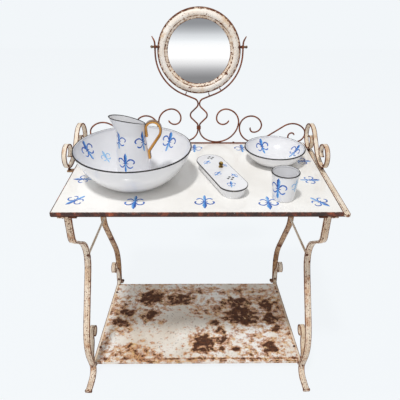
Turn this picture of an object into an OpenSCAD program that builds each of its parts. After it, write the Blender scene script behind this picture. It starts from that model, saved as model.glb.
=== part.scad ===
// Wrought-iron wash basin stand with an enamelled top, a gallery of scrolls,
// a tilting round mirror and the enamelled toilet set that stands on it.
// Millimetres. Origin on the floor at the middle of the whole stand, +Z up,
// front towards -Y. Pieces are drawn from the middle between the side frames and
// moved by piece(). Bars and rods follow paths made of arcs and straights.

/* [Enamelled top] */
// Width of the enamelled sheet
top_w = 806; // [760:2:880]
// Depth of the enamelled sheet
top_d = 500; // [480:10:540]
// Height of the sheet's surface above the floor
top_h = 715; // [695:5:750]
// Thickness of the sheet
top_t = 3; // [2:0.5:4]
// Height of the rims turned down at its front and back
rim_h = 11; // [9:1:16]
// Thickness of those rims
rim_t = 2; // [1.5:0.5:2.5]
// How far the sheet sits to the left of the legs' middle
top_shift_x = 3; // [0:1:4]
// How far the sheet sits to the front of the legs' middle
top_shift_y = 23; // [15:1:30]

/* [Rails] */
// How far the right side rail reaches past the sheet
side_rail_reach = 20.5; // [20:0.5:24]
// How far the right side rail reaches past the sheet's front edge
side_rail_front = 5; // [0:1:8]
// Width of a side rail
side_rail_w = 19; // [16:1:22]
// Thickness of a side rail without its ridge
side_rail_t = 7; // [5:0.5:9]
// Width of the flange of the front and back angle rails
angle_w = 30; // [28:1:36]
// Thickness of the angle rails
angle_t = 3; // [2:0.5:4]
// Gap left between pieces that lie beside each other
fit_gap = 0.5; // [0.3:0.1:1]
// Width of the ridge along the moulded bars
ridge_w = 8; // [5:1:10]
// Height of the ridge along the moulded bars
ridge_h = 2; // [1:0.5:3]

/* [Side frames] */
// Distance of each side frame's plane from the right side rail's outer face
side_inset = 54; // [45:1:60]
// Angle by which each side frame closes in towards the back
side_angle = 2.8; // [0:0.1:4]
// Width of a leg bar
leg_w = 22; // [18:1:26]
// Thickness of a leg bar without its ridge
leg_t = 7; // [5:0.5:9]
// Distance of each toe's end from the middle of the stand
foot_reach = 315; // [300:1:330]
// Length of the front legs' toe that lies on the floor
toe_l = 47; // [30:1:55]
// Length of the back legs' toe, which is cut short
back_toe_l = 2; // [1:1:40]
// Width of the forged pad at the toe's end
pad_w = 25; // [22:1:28]
// Height of that pad
pad_h = 12; // [9:1:14]
// Height of the straight stretch below the leg's flange
neck_l = 86; // [60:1:95]
// Diameter of the stretcher between the knees
stretcher_d = 8; // [6:0.5:10]
// How far the stretcher sits inwards of the side frame's plane
stretcher_inset = 5; // [0:0.5:7]
// Width of the curled shelf cradle strip
cradle_w = 18; // [14:1:20]
// Thickness of the cradle strip
cradle_t = 4; // [3:0.5:5]
// Outer radius of the curl at each end of the cradle
curl_r = 22.5; // [18:0.5:26]

/* [Shelf] */
// Height of the shelf's surface above the floor
shelf_h = 39; // [36:1:46]
// Height of the skirt folded down round the shelf
skirt_h = 12; // [10:1:14]
// Thickness of the shelf sheet
shelf_t = 2; // [1:0.5:3]
// Distance of the shelf's front edge from the middle of the stand
shelf_front = 216; // [200:1:226]
// Distance of the shelf's back edge from the middle of the stand
shelf_back = 205; // [195:1:226]

/* [Side scrolls] */
// Width of the flat bar of the side scrolls
scroll_w = 16; // [12:1:18]
// Thickness of that bar
scroll_t = 4; // [3:0.5:5]
// Place of the scroll's lowest point along the depth
scroll_y = 6; // [-10:1:20]
// Height of the scroll's back curl
scroll_h = 91; // [88:1:100]
// Height of the spacers on which the side scrolls stand
spacer_h = 8; // [5:1:10]
// Angle by which each side scroll closes in towards the back
scroll_angle = 2.8; // [0:0.1:3]
// How far the pair of side scrolls sits to the left
scroll_shift_x = 5; // [4:0.5:6]

/* [Gallery and mirror] */
// How far the gallery sits to the right of the legs' middle
gallery_shift_x = 4.5; // [0:0.5:6]
// Distance of the gallery's plane from the back edge of the sheet
gallery_inset = 8; // [6:0.5:14]
// Depth of the gallery's base bar
base_d = 8; // [6:1:10]
// Height of the gallery's base bar
base_h = 3; // [2:0.5:4]
// Diameter of the gallery's rods
rod_d = 5.5; // [4.5:0.5:6]
// Height of the lower collar above the base bar
collar_h = 58.9; // [58.9:0.1:62]
// Distance of each pivot from the middle
pivot_x = 147; // [146:0.5:150]
// Outer radius of the mirror's ring
ring_r = 140; // [130:0.5:141]
// Radial width of the mirror's ring
ring_w = 36; // [28:0.5:40]
// Depth of the mirror's ring
ring_t = 15; // [12:0.5:18]
// Height of the pivots above the ring's centre
pivot_rise = 16.9; // [8:0.1:18]
// Thickness of the mirror glass
glass_t = 3; // [2:0.5:4]
// Diameter of the pivot screws
screw_d = 4; // [3:0.5:5]
// Diameter of the pivot screws' balls
ball_d = 9.5; // [8:0.5:12]

/* [Toilet set] */
// Place of the basin across the top, from the frame's middle
basin_x = -197; // [-215:1:-190]
// Place of the basin along the depth
basin_y = -70.5; // [-85:0.5:-50]
// Radius of the basin's rim
basin_r = 178; // [160:1:180]
// Height of the basin
basin_h = 111; // [95:1:118]
// Radius of the flat bottom of the basin
basin_foot_r = 85; // [75:1:90]
// Wall of the enamelled pieces
wall = 2; // [1.5:0.1:2.5]
// Place of the jug across the basin, from the basin's middle
jug_x = -2.5; // [-15:0.5:15]
// Place of the jug along the basin
jug_y = 5.5; // [-10:0.5:15]
// Radius of the jug's base
jug_r = 56; // [48:0.5:60]
// Radius of the jug's neck
jug_neck_r = 42; // [36:0.5:46]
// Height of the jug's neck above its base
jug_neck_h = 150; // [135:1:155]
// Mean height of the jug's slanted rim above its base
jug_h = 190; // [184:1:200]
// Place of the bowl across the top
bowl_x = 259.5; // [245:0.5:268]
// Place of the bowl along the depth
bowl_y = 61; // [50:1:75]
// Radius of the bowl's rim
bowl_r = 102; // [90:1:106]
// Height of the bowl
bowl_h = 53; // [45:1:60]
// Radius of the bowl's flat bottom
bowl_foot_r = 50; // [40:1:56]
// Place of the cup across the top
cup_x = 246.5; // [235:0.5:260]
// Place of the cup along the depth
cup_y = -189.5; // [-200:0.5:-170]
// Radius of the cup's rim
cup_r = 40.3; // [36:0.1:44]
// Height of the cup
cup_h = 85; // [75:1:95]
// Radius of the cup's bottom
cup_foot_r = 32.5; // [28:0.5:36]
// Place of the brush box across the top
box_x = 71; // [60:0.5:80]
// Place of the brush box along the depth
box_y = -83.5; // [-95:0.5:-70]
// Angle of the brush box to the front edge
box_angle = -69.2; // [-80:0.1:-60]
// Distance between the centres of the box's two round ends
box_l = 174; // [150:1:180]
// Radius of the lid's round ends
lid_r = 43; // [36:0.5:45]
// Radius of the box's round ends at the bottom
box_foot_r = 33; // [28:0.5:35]
// Height of the box without its lid
box_h = 29; // [24:1:36]
// Thickness of the lid
lid_t = 4; // [3:0.5:6]

/* [Hidden] */

cream = "#e6d9c3";
patina = "#c9b08c";
rust = "#7a3f22";
enamel = "#f2f0ec";
far = 2000;

// Levels, from the top down
sheet_z = top_h - top_t;
rail_z = sheet_z - ridge_h - side_rail_t;
flange_z = rail_z - angle_t;
sheet_front = -top_d / 2 - top_shift_y;
sheet_back = top_d / 2 - top_shift_y;
web_front = sheet_front + rim_t + fit_gap;
web_back = sheet_back - rim_t - fit_gap;
sheet_left = -top_w / 2 - top_shift_x;
sheet_right = top_w / 2 - top_shift_x;
frame_right = sheet_right + side_rail_reach;
right_rail_x = frame_right - side_rail_w / 2;
left_rail_x = sheet_left + side_rail_w / 2;
side_x = frame_right - side_inset;
shelf_half = side_x - 4;
shelf_cut = tan(side_angle);

// Shift that puts the middle of the whole stand at the origin
middle_y = (toe_l - back_toe_l) / 2 * cos(side_angle);

module piece(paint)
    translate([scroll_shift_x, middle_y, 0])
        color(paint)
            children();

// Path steps: [radius, turn in degrees] is an arc, [0, length] a straight.
// A state on a path is [x, y, heading].
function step_end(p, s) = s[0] == 0
    ? [p[0] + s[1] * cos(p[2]), p[1] + s[1] * sin(p[2]), p[2]]
    : let (g = sign(s[1]), h = p[2] + s[1])
      [p[0] + g * s[0] * (sin(h) - sin(p[2])), p[1] + g * s[0] * (cos(p[2]) - cos(h)), h];
function states(p, steps, i = 0) =
    i == len(steps) ? [p] : concat([p], states(step_end(p, steps[i]), steps, i + 1));
function path_end(p, steps) = let (all = states(p, steps)) all[len(all) - 1];

// States along a path, with arcs cut into pieces of about 9 degrees
function fine_steps(steps) = [for (s = steps)
    let (n = s[0] == 0 ? 1 : max(2, ceil(abs(s[1]) / 9))) for (k = [1:n]) [s[0], s[1] / n]];
function beside(p, off) = [p[0] - off * sin(p[2]), p[1] + off * cos(p[2])];
function ribbon(p, steps, low, high) =
    let (line = states(p, fine_steps(steps)), n = len(line))
    concat([for (q = line) beside(q, low)], [for (i = [n - 1:-1:0]) beside(line[i], high)]);

// Flat bar whose path lies in the plane of depth and height, w wide across
module side_bar(p, steps, low, high, w)
    rotate([90, 0, 90])
        linear_extrude(w, center = true)
            polygon(ribbon(p, steps, low, high));

// Round rod whose path lies in the plane of width and height
module rod(p, steps, d) {
    line = states(p, steps);
    rotate([90, 0, 0])
        union() {
            for (i = [0:len(steps) - 1])
                rod_step(line[i], steps[i], d);
            for (i = [1:len(steps) - 1])
                translate([line[i][0], line[i][1], 0])
                    sphere(d = d + 0.4, $fn = 24);
        }
}

module rod_step(q, s, d) {
    if (s[0] == 0)
        translate([q[0], q[1], 0])
            rotate([0, 90, q[2]])
                cylinder(h = s[1], d = d, $fn = 16);
    else
        translate([q[0] - sign(s[1]) * s[0] * sin(q[2]), q[1] + sign(s[1]) * s[0] * cos(q[2]), 0])
            rotate([0, 0, s[1] > 0 ? q[2] - 90 : q[2] + 90 + s[1]])
                rotate_extrude(angle = abs(s[1]), $fn = 64)
                    translate([s[0], 0])
                        circle(d = d, $fn = 16);
}

// Turned shell of the enamelled pieces: a wall along a path, with a rolled rim
module turned(p, steps, t, bead) {
    rim = path_end(p, steps);
    rotate_extrude($fn = 72)
        union() {
            polygon(ribbon(p, steps, -t / 2, t / 2));
            translate([rim[0], rim[1]])
                circle(d = bead, $fn = 16);
        }
}

module both_sides(side) {
    if (side < 0) mirror([1, 0, 0]) children();
    else children();
}

// Side frame: children are drawn in its own plane, x across it
module side_frame(side)
    both_sides(side)
        translate([side_x, 0, 0])
            rotate([0, 0, side_angle])
                children();

/* Legs */
function leg_path(toe) = concat([[0, toe]], leg_low, [[0, shin_l]], leg_high);
leg_low = [[34, -104], [0, 50], [182, 44]];
leg_high = [[115, -30], [96, -52.5], [0, 65], [37, 52.5], [0, neck_l]];
flange_bend_r = 12;
flange_l = 17;
flange_mid_z = flange_z - leg_t / 2;
shin = path_end([0, leg_t / 2, 180], leg_low);
rise = path_end([0, 0, shin[2]], leg_high)[1];
shin_l = (flange_mid_z - flange_bend_r - rise - shin[1]) / sin(shin[2]);
leg_end = path_end([0, leg_t / 2, 180], leg_path(0));
// The feet reach no further than lets the front flanges keep their length under the sheet
flange_room = -web_front - angle_t - flange_bend_r - fit_gap;
reach = min(foot_reach, flange_room - flange_l + toe_l - leg_end[0]);
function foot_start(toe) = [reach - toe_l + toe, leg_t / 2, 180];
leg_top = path_end(foot_start(0), leg_path(0));
knee = path_end(foot_start(0), concat(leg_low, [[0, shin_l], leg_high[0]]));
front_flange_l = flange_room - leg_top[0];
flange_steps = [[flange_bend_r, -90], [0, front_flange_l]];
back_flange_steps = [[flange_bend_r, 90], [0, flange_l]];
bolt_d = 5;
front_bolt_y = leg_top[0] + flange_bend_r + front_flange_l - 12;
back_bolt_y = leg_top[0] - flange_bend_r - flange_l / 2;
rivet_d = 5;
cradle_rivet_z = 48;

module leg_bolt_places()
    for (side = [-1, 1])
        side_frame(side) {
            translate([0, -front_bolt_y, 0]) children();
            translate([0, back_bolt_y, 0]) children();
        }

module leg(side, front) {
    toe = front ? toe_l : back_toe_l;
    bend = front ? flange_steps : back_flange_steps;
    turn = front ? -1 : 1;
    piece(cream)
        difference() {
            side_frame(side)
                mirror([0, front ? 1 : 0, 0]) {
                    side_bar(foot_start(toe), concat(leg_path(toe), bend), -leg_t / 2, leg_t / 2, leg_w);
                    side_bar(foot_start(toe), leg_path(toe), -leg_t / 2 - ridge_h, -leg_t / 2, ridge_w);
                    toe_pad(toe);
                }
            leg_bolt_places() cylinder(h = far, d = bolt_d, $fn = 24);
            side_frame(side) {
                translate([-stretcher_inset, turn * knee[0], knee[1]])
                    rotate([90, 0, 0])
                        cylinder(h = 60, d = rivet_d, center = true, $fn = 24);
                translate([0, turn * reach, cradle_rivet_z])
                    rotate([90 * turn, 0, 0])
                        cylinder(h = reach / 2, d = rivet_d, $fn = 24);
            }
        }
}

// Forged pad with rounded corners at the end of the toe
module toe_pad(toe) {
    r = pad_h / 3;
    translate([0, reach - toe_l + toe, 0])
        rotate([90, 0, 0]) {
            translate([-pad_w / 2 + r, 0, 0]) cube([pad_w - 2 * r, pad_h, 6]);
            translate([-pad_w / 2, r, 0]) cube([pad_w, pad_h - 2 * r, 6]);
            for (x = [-1, 1], z = [r, pad_h - r])
                translate([x * (pad_w / 2 - r), z, 0]) cylinder(h = 6, r = r, $fn = 24);
        }
}

module left_front_leg() leg(-1, true);
module right_front_leg() leg(1, true);
module left_back_leg() leg(-1, false);
module right_back_leg() leg(1, false);

/* Stretchers between the knees, with a rivet through each leg */
// Heads of rivets stand off the curved bars by this much
head_gap = 0.25;
stretcher_half = knee[0] - leg_t / 2;

module stretcher(side)
    piece(patina)
        side_frame(side)
            translate([-stretcher_inset, 0, knee[1]])
                rotate([90, 0, 0])
                    difference() {
                        cylinder(h = 2 * stretcher_half, d = stretcher_d, center = true, $fn = 24);
                        for (turn = [0, 180])
                            rotate([turn, 0, 0])
                                translate([0, 0, stretcher_half - 8])
                                    cylinder(h = 9, d = rivet_d, $fn = 24);
                    }

module left_stretcher() stretcher(-1);
module right_stretcher() stretcher(1);

module stretcher_rivets()
    piece(rust)
        for (side = [-1, 1], turn = [-1, 1])
            side_frame(side)
                translate([-stretcher_inset, turn * knee[0], knee[1]])
                    rotate([-90 * turn, 0, 0]) {
                        translate([0, 0, -leg_t / 2 - 8])
                            cylinder(h = leg_t + 9 + ridge_h, d = rivet_d, $fn = 24);
                        translate([0, 0, leg_t / 2 + ridge_h + head_gap])
                            cylinder(h = 2, d = rivet_d + 3, $fn = 24);
                    }

/* Shelf cradle */
cradle_z = shelf_h - skirt_h - cradle_t / 2;
corner_r = 14;
corner_turn = 82;
touch = 0.02;
// The cradle's rising strip touches the arc of the leg's ankle
ankle = [reach - toe_l, leg_t / 2 + leg_low[0][0]];
ankle_rise = ankle[1] - cradle_z - corner_r * (1 - cos(corner_turn));
cradle_run = ankle[0] - corner_r * sin(corner_turn)
    - (leg_low[0][0] + leg_t / 2 + cradle_t / 2 + touch + ankle_rise * cos(corner_turn)) / sin(corner_turn);
cradle_start = [0, cradle_z, 0];
cradle_steps = [[0, cradle_run], [corner_r, corner_turn], [0, 22], [70, 45], [0, 10], [60, -37],
    [curl_r - cradle_t / 2, 235], [curl_r * 0.62, 100]];

module cradle(side)
    piece(patina)
        difference() {
            side_frame(side)
                for (front = [0, 1])
                    mirror([0, front, 0])
                        side_bar(cradle_start, cradle_steps, -cradle_t / 2, cradle_t / 2, cradle_w);
            side_frame(side)
                translate([0, 0, cradle_rivet_z])
                    rotate([90, 0, 0])
                        cylinder(h = 2 * reach, d = rivet_d, center = true, $fn = 24);
            shelf_screw_places() cylinder(h = shelf_h, d = screw_d, $fn = 24);
        }

module left_shelf_cradle() cradle(-1);
module right_shelf_cradle() cradle(1);

cradle_rise = path_end(cradle_start, [cradle_steps[0], cradle_steps[1]]);
cradle_at_rivet = cradle_rise[0] + (cradle_rivet_z - cradle_rise[1]) / tan(cradle_rise[2]);
rivet_l = 21;

module cradle_rivets()
    piece(rust)
        for (side = [-1, 1], turn = [-1, 1])
            side_frame(side)
                translate([0, turn * (cradle_at_rivet - cradle_t / 2 - 1.2), cradle_rivet_z])
                    rotate([-90 * turn, 0, 0]) {
                        cylinder(h = rivet_l, d = rivet_d, $fn = 24);
                        translate([0, 0, -2]) cylinder(h = 2.6, d = rivet_d + 4, $fn = 24);
                    }

/* Shelf: a sheet with a skirt folded down all round */
function shelf_outline(inset, back_inset) = [
    for (y = [-shelf_front + inset, shelf_back - back_inset])
        [-(shelf_half - inset - shelf_cut * y), y],
    for (y = [shelf_back - back_inset, -shelf_front + inset])
        [shelf_half - inset - shelf_cut * y, y]];
shelf_screw_inset = 6.5;
shelf_screw_y = 150;

module shelf_screw_places()
    for (side = [-1, 1], y = [-shelf_screw_y, shelf_screw_y])
        side_frame(side)
            translate([-shelf_screw_inset, y, 0])
                children();

module shelf()
    piece("#d8cdbb")
        difference() {
            translate([0, 0, shelf_h - skirt_h])
                linear_extrude(skirt_h)
                    polygon(shelf_outline(0, 0));
            translate([0, 0, -shelf_t])
                linear_extrude(shelf_h)
                    polygon(shelf_outline(shelf_t, shelf_t));
            shelf_screw_places() cylinder(h = far, d = screw_d, $fn = 24);
        }

module shelf_screws()
    piece(rust)
        shelf_screw_places() {
            translate([0, 0, cradle_z - cradle_t / 2 - 6])
                cylinder(h = shelf_h - cradle_z + cradle_t / 2 + 6, d = screw_d, $fn = 24);
            translate([0, 0, shelf_h]) cylinder(h = 2, d = screw_d + 5, $fn = 24);
            translate([0, 0, cradle_z - cradle_t / 2 - 4]) cylinder(h = 4, d = screw_d + 5, $fn = 6);
        }

/* Angle rails under the sheet */
corner_inset = 12;
web_left = sheet_left + side_rail_w + fit_gap;
web_right = frame_right - side_rail_w - fit_gap;

module corner_places()
    for (x = [left_rail_x, right_rail_x], y = [web_front + corner_inset, web_back - corner_inset])
        translate([x, y, 0])
            children();

module angle_rail(y, turn)
    piece("#4b3226")
        difference() {
            translate([0, y, flange_z]) {
                translate([sheet_left, turn > 0 ? 0 : -angle_w, 0])
                    cube([frame_right - sheet_left, angle_w, angle_t]);
                translate([web_left, turn > 0 ? 0 : -angle_t, 0])
                    cube([web_right - web_left, angle_t, sheet_z - flange_z]);
            }
            leg_bolt_places() cylinder(h = far, d = bolt_d, $fn = 24);
            corner_places() cylinder(h = far, d = rivet_d, $fn = 24);
            gallery_screw_places() cylinder(h = far, d = screw_d, $fn = 24);
        }

module front_rail() angle_rail(web_front, 1);
module back_rail() angle_rail(web_back, -1);

/* Side rails: the left one lies under the sheet and carries the scroll on two lugs */
lug_w = 18;
lug_out = 6;
lug_t = 5;
lug_z = rail_z + 1;

module side_rail(side)
    piece(cream)
        difference() {
            union() {
                translate([side < 0 ? left_rail_x : right_rail_x, 0, rail_z]) {
                    linear_extrude(side_rail_t) rail_outline(side, side_rail_w);
                    translate([0, 0, side_rail_t])
                        linear_extrude(ridge_h) rail_outline(side, ridge_w);
                }
                if (side < 0)
                    for (y = [scroll_y, scroll_back_y])
                        scroll_place(side)
                            translate([rivet_out - 20, y - lug_w / 2, lug_z - scroll_base])
                                cube([20 + lug_out, lug_w, lug_t]);
            }
            corner_places() cylinder(h = far, d = rivet_d, $fn = 24);
            scroll_rivet_places(side) cylinder(h = far, d = screw_d, center = true, $fn = 24);
        }

module rail_outline(side, w) {
    front = side < 0 ? web_front : sheet_front - side_rail_front;
    translate([0, front]) {
        translate([0, side_rail_w / 2]) circle(d = w, $fn = 32);
        translate([-w / 2, side_rail_w / 2]) square([w, web_back - front - side_rail_w / 2]);
    }
}

module left_side_rail() side_rail(-1);
module right_side_rail() side_rail(1);

module corner_rivets()
    piece(rust)
        corner_places() {
            translate([0, 0, flange_z]) cylinder(h = sheet_z - flange_z, d = rivet_d, $fn = 24);
            translate([0, 0, flange_z - 2]) cylinder(h = 2, d = rivet_d + 4, $fn = 24);
        }

module leg_bolts()
    piece(rust)
        leg_bolt_places() {
            translate([0, 0, flange_mid_z - leg_t / 2 - 7])
                cylinder(h = leg_t + angle_t + 8, d = bolt_d, $fn = 24);
            translate([0, 0, rail_z]) cylinder(h = 4, d = bolt_d + 6, $fn = 24);
            translate([0, 0, flange_mid_z - leg_t / 2 - 5]) cylinder(h = 5, d = bolt_d + 5, $fn = 6);
        }

/* Enamelled sheet */
module enamel_top()
    piece(enamel)
        translate([-top_shift_x, 0, 0])
            difference() {
                union() {
                    translate([-top_w / 2, sheet_front, sheet_z]) cube([top_w, top_d, top_t]);
                    for (y = [sheet_front, sheet_back - rim_t])
                        translate([-top_w / 2, y, top_h - rim_h]) cube([top_w, rim_t, rim_h]);
                }
                translate([top_shift_x, 0, 0])
                    gallery_screw_places() cylinder(h = far, d = screw_d, $fn = 24);
            }

/* Tabs that hook under the front and back rims beside the legs */
tab_w = 24;
tab_t = 3;
function tab_x(end) = side_x - end * tan(side_angle) * leg_top[0] - leg_w / 2 - tab_w / 2 - 8;

module top_tabs()
    piece(rust)
        for (side = [-1, 1], end = [-1, 1]) {
            y0 = end < 0 ? sheet_front : web_back - angle_w + 4;
            y1 = end < 0 ? web_front + angle_w - 4 : sheet_back;
            translate([side * tab_x(end) - tab_w / 2, y0, flange_z - tab_t])
                cube([tab_w, y1 - y0, tab_t]);
        }

/* Side scrolls */
scroll_r = 66;
scroll_low = [[110, 46], [0, 55]];
scroll_shoulder = [scroll_r, -46];
scroll_top_turn = path_end([0, 0, 0], concat(scroll_low, [scroll_shoulder]));
scroll_lift = (scroll_h - scroll_t - scroll_top_turn[1]) / sin(46);
scroll_back_r = (scroll_h - scroll_t) / 2;
scroll_back_steps = [[110, 46], [0, 55 + scroll_lift], scroll_shoulder, [scroll_back_r, -180],
    [28, -110], [16, -130]];
scroll_front_steps = [[37, -215], [24, -96], [12, -59]];
scroll_foot = path_end([scroll_y, 0, 0],
    [scroll_back_steps[0], scroll_back_steps[1], scroll_shoulder, scroll_back_steps[3]]);
scroll_back_y = scroll_foot[0];
scroll_base = sheet_z + spacer_h;
scroll_x = right_rail_x + scroll_shift_x;
rivet_out = 3;

module scroll_place(side)
    translate([-scroll_shift_x, 0, 0])
        both_sides(side)
            translate([scroll_x, scroll_y, scroll_base])
                rotate([0, 0, scroll_angle])
                    translate([0, -scroll_y, 0])
                        children();

module scroll_rivet_places(side)
    scroll_place(side)
        for (y = [scroll_y, scroll_back_y])
            translate([rivet_out, y, 0])
                children();

module side_scroll(side)
    piece(cream)
        difference() {
            scroll_place(side) {
                side_bar([scroll_y, scroll_t / 2, 0], scroll_back_steps,
                    -scroll_t / 2, scroll_t / 2, scroll_w);
                side_bar([scroll_y, scroll_t / 2, 180], scroll_front_steps,
                    -scroll_t / 2, scroll_t / 2, scroll_w);
            }
            scroll_rivet_places(side)
                cylinder(h = 2 * scroll_t + 2, d = screw_d, center = true, $fn = 24);
        }

module left_side_scroll() side_scroll(-1);
module right_side_scroll() side_scroll(1);

module side_scroll_rivets()
    piece(rust)
        for (side = [-1, 1]) {
            low = (side < 0 ? lug_z : rail_z) - scroll_base;
            rail_top = side < 0 ? low + lug_t : -spacer_h;
            scroll_rivet_places(side) {
                translate([0, 0, low - 2]) cylinder(h = 2, d = screw_d + 4, $fn = 24);
                translate([0, 0, low]) cylinder(h = scroll_t + 1 - low, d = screw_d, $fn = 24);
                translate([0, 0, rail_top]) cylinder(h = -rail_top, d = screw_d + 4, $fn = 24);
                translate([0, 0, scroll_t + head_gap]) cylinder(h = 2, d = screw_d + 3, $fn = 24);
            }
        }

/* Gallery */
gallery_y = sheet_back - gallery_inset;
base_half = top_w / 2 - 15;
rod_z = top_h + base_h;
collar_z = rod_z + collar_h;
collar_half = 5.5;
gallery_screw_x = [130, base_half - 88];

module in_gallery()
    translate([gallery_shift_x, gallery_y, 0])
        children();

module gallery_screw_places()
    in_gallery()
        for (side = [-1, 1], x = gallery_screw_x)
            translate([side * x, 0, 0])
                children();

module gallery_base_bar()
    piece(rust)
        difference() {
            translate([-base_half, gallery_y - base_d / 2, top_h]) cube([2 * base_half, base_d, base_h]);
            gallery_screw_places() cylinder(h = far, d = screw_d, $fn = 24);
        }

module gallery_screws()
    piece(rust)
        gallery_screw_places() {
            translate([0, 0, flange_z - 6]) cylinder(h = rod_z - flange_z + 6, d = screw_d, $fn = 24);
            translate([0, 0, rod_z]) cylinder(h = 2.5, d = screw_d + 4, $fn = 24);
            translate([0, 0, flange_z - 4]) cylinder(h = 4, d = screw_d + 5, $fn = 6);
        }

// Each yoke rod runs both ways from the collar: down into the large scroll, up to the pivot
rod_start_x = rod_d / 2;
yoke_r = 148;
yoke_turn = 68;
oval_steps = [[0, collar_half], [18, -45], [0, 24.5], [16.5, 90], [0, 24.5], [18, -45]];
neck = path_end([rod_start_x, collar_z, 90], concat(oval_steps, [[20, -yoke_turn]]));
arm_l = (pivot_x - neck[0] - yoke_r * (1 - cos(yoke_turn))) / sin(yoke_turn);
arm_steps = concat(oval_steps, [[20, -yoke_turn], [0, arm_l], [yoke_r, yoke_turn]]);
arm_end = path_end([rod_start_x, collar_z, 90], arm_steps);
pivot_z = arm_end[1] + 22;
tail_steps = [[0, 31], [30, -28], [0, 12]];
running_gap = 0.08;
large_steps = [[0, collar_half], [46, 60], [80, 112], [50, 90], [33, 107], [23, 150]];

// Rod of one side of the gallery. A right rod is drawn mirrored in its own plane.
module gallery_rod(side)
    in_gallery()
        both_sides(side)
            mirror([0, side > 0 ? 1 : 0, 0])
                children();

module yoke_rod(side)
    piece(rust)
        gallery_rod(side)
            difference() {
                union() {
                    rod([rod_start_x, collar_z, -90], large_steps, rod_d);
                    rod([rod_start_x, collar_z, 90], concat(arm_steps, tail_steps), rod_d);
                    translate([pivot_x - rod_d / 2 - 0.2, 0, pivot_z])
                        rotate([0, 90, 0])
                            cylinder(h = rod_d + 0.4, d = screw_d + 8, $fn = 32);
                }
                translate([pivot_x - 10, 0, pivot_z])
                    rotate([0, 90, 0])
                        cylinder(h = 20, d = screw_d + 2 * running_gap, $fn = 32);
            }

module left_yoke_rod() yoke_rod(-1);
module right_yoke_rod() yoke_rod(1);

module gallery_collar()
    piece(rust)
        in_gallery()
            difference() {
                translate([-rod_d - 2, -rod_d / 2 - 2, collar_z - collar_half])
                    cube([2 * rod_d + 4, rod_d + 4, 2 * collar_half]);
                for (x = [-rod_start_x, rod_start_x])
                    translate([x, 0, collar_z - far / 2])
                        cylinder(h = far, d = rod_d, $fn = 32);
                translate([-rod_start_x, -rod_d / 2, collar_z - far / 2])
                    cube([2 * rod_start_x, rod_d, far]);
            }

middle_steps = [[57, -99], [40.5, -152], [26, -113], [14, -103]];
middle_x = 206.5;
function outer_steps(l) = [[30, 34], [0, l], [55, -84], [31, -76], [33, -107], [14, -105], [10, -80],
    [14, -16]];
outer_x = 212;
outer_run = [108, 102];

module middle_scroll(side)
    piece(rust)
        gallery_rod(side)
            rod([middle_x, rod_z + rod_d / 2, 180], middle_steps, rod_d);

module outer_scroll(side)
    piece(rust)
        gallery_rod(side)
            rod([outer_x, rod_z + rod_d / 2, 0], outer_steps(outer_run[side < 0 ? 0 : 1]), rod_d);

module left_middle_scroll() middle_scroll(-1);
module right_middle_scroll() middle_scroll(1);
module left_outer_scroll() outer_scroll(-1);
module right_outer_scroll() outer_scroll(1);

/* Mirror */
ring_z = pivot_z - pivot_rise;
peg_d = 3.5;
peg_angles = [-108, -76, -59];
peg_gap = 1;
peg_l = 10.5;
ring_back = ring_t / 2;
glass_r = ring_r - ring_w + 4;

module in_mirror()
    translate([gallery_shift_x, gallery_y, ring_z])
        rotate([90, 0, 0])
            children();

module yoke_pegs()
    piece(rust)
        in_mirror()
            for (a = peg_angles)
                rotate([0, 0, a])
                    translate([ring_r + peg_gap, 0, 0])
                        rotate([0, 90, 0])
                            cylinder(h = peg_l, d = peg_d, $fn = 16);

function ring_profile() = concat(
    [[ring_r - ring_w, -ring_back], [ring_r, -ring_back]],
    [for (a = [0:15:180]) [ring_r - ring_w / 2 + (ring_w / 2) * cos(a),
        -ring_back + 5 + (ring_t - 5) * sin(a)]]);

module mirror_frame()
    piece("#d9cfbd")
        in_mirror()
            difference() {
                rotate_extrude($fn = 96) polygon(ring_profile());
                translate([0, 0, -ring_back - 1])
                    cylinder(h = glass_t + 1 + 1.5, r = glass_r, $fn = 96);
                for (side = [-1, 1])
                    both_sides(side)
                        translate([lug_face - lug_l, pivot_rise, 0])
                            rotate([0, 90, 0])
                                cylinder(h = lug_l + 5, d = screw_d + 4, $fn = 32);
            }

module mirror_glass()
    piece("#c9d2d6")
        in_mirror()
            translate([0, 0, -ring_back + 1.5])
                cylinder(h = glass_t, r = glass_r - 0.5, $fn = 96);

module mirror_back()
    piece("#8a7a66")
        in_mirror()
            translate([0, 0, -ring_back])
                cylinder(h = 1.5, r = glass_r - 0.5, $fn = 96);

/* Threaded lugs in the ring's edge, washers and ball-headed screws */
lug_l = 16;
washer_t = 1.5;
lug_face = pivot_x - rod_d / 2 - washer_t - 0.6;

module on_pivot(side)
    translate([gallery_shift_x, gallery_y, pivot_z])
        both_sides(side)
            rotate([0, 90, 0])
                children();

module mirror_pivot_lugs()
    piece(rust)
        for (side = [-1, 1])
            on_pivot(side)
                translate([0, 0, lug_face - lug_l])
                    difference() {
                        cylinder(h = lug_l, d = screw_d + 4, $fn = 32);
                        translate([0, 0, -1]) cylinder(h = lug_l + 2, d = screw_d + 2 * running_gap, $fn = 32);
                    }

module pivot_washers()
    piece(rust)
        for (side = [-1, 1])
            on_pivot(side)
                translate([0, 0, lug_face + 0.05])
                    difference() {
                        cylinder(h = washer_t, d = screw_d + 6, $fn = 32);
                        translate([0, 0, -1]) cylinder(h = washer_t + 2, d = screw_d + 2 * running_gap, $fn = 32);
                    }

ball_gap = 3;

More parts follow.
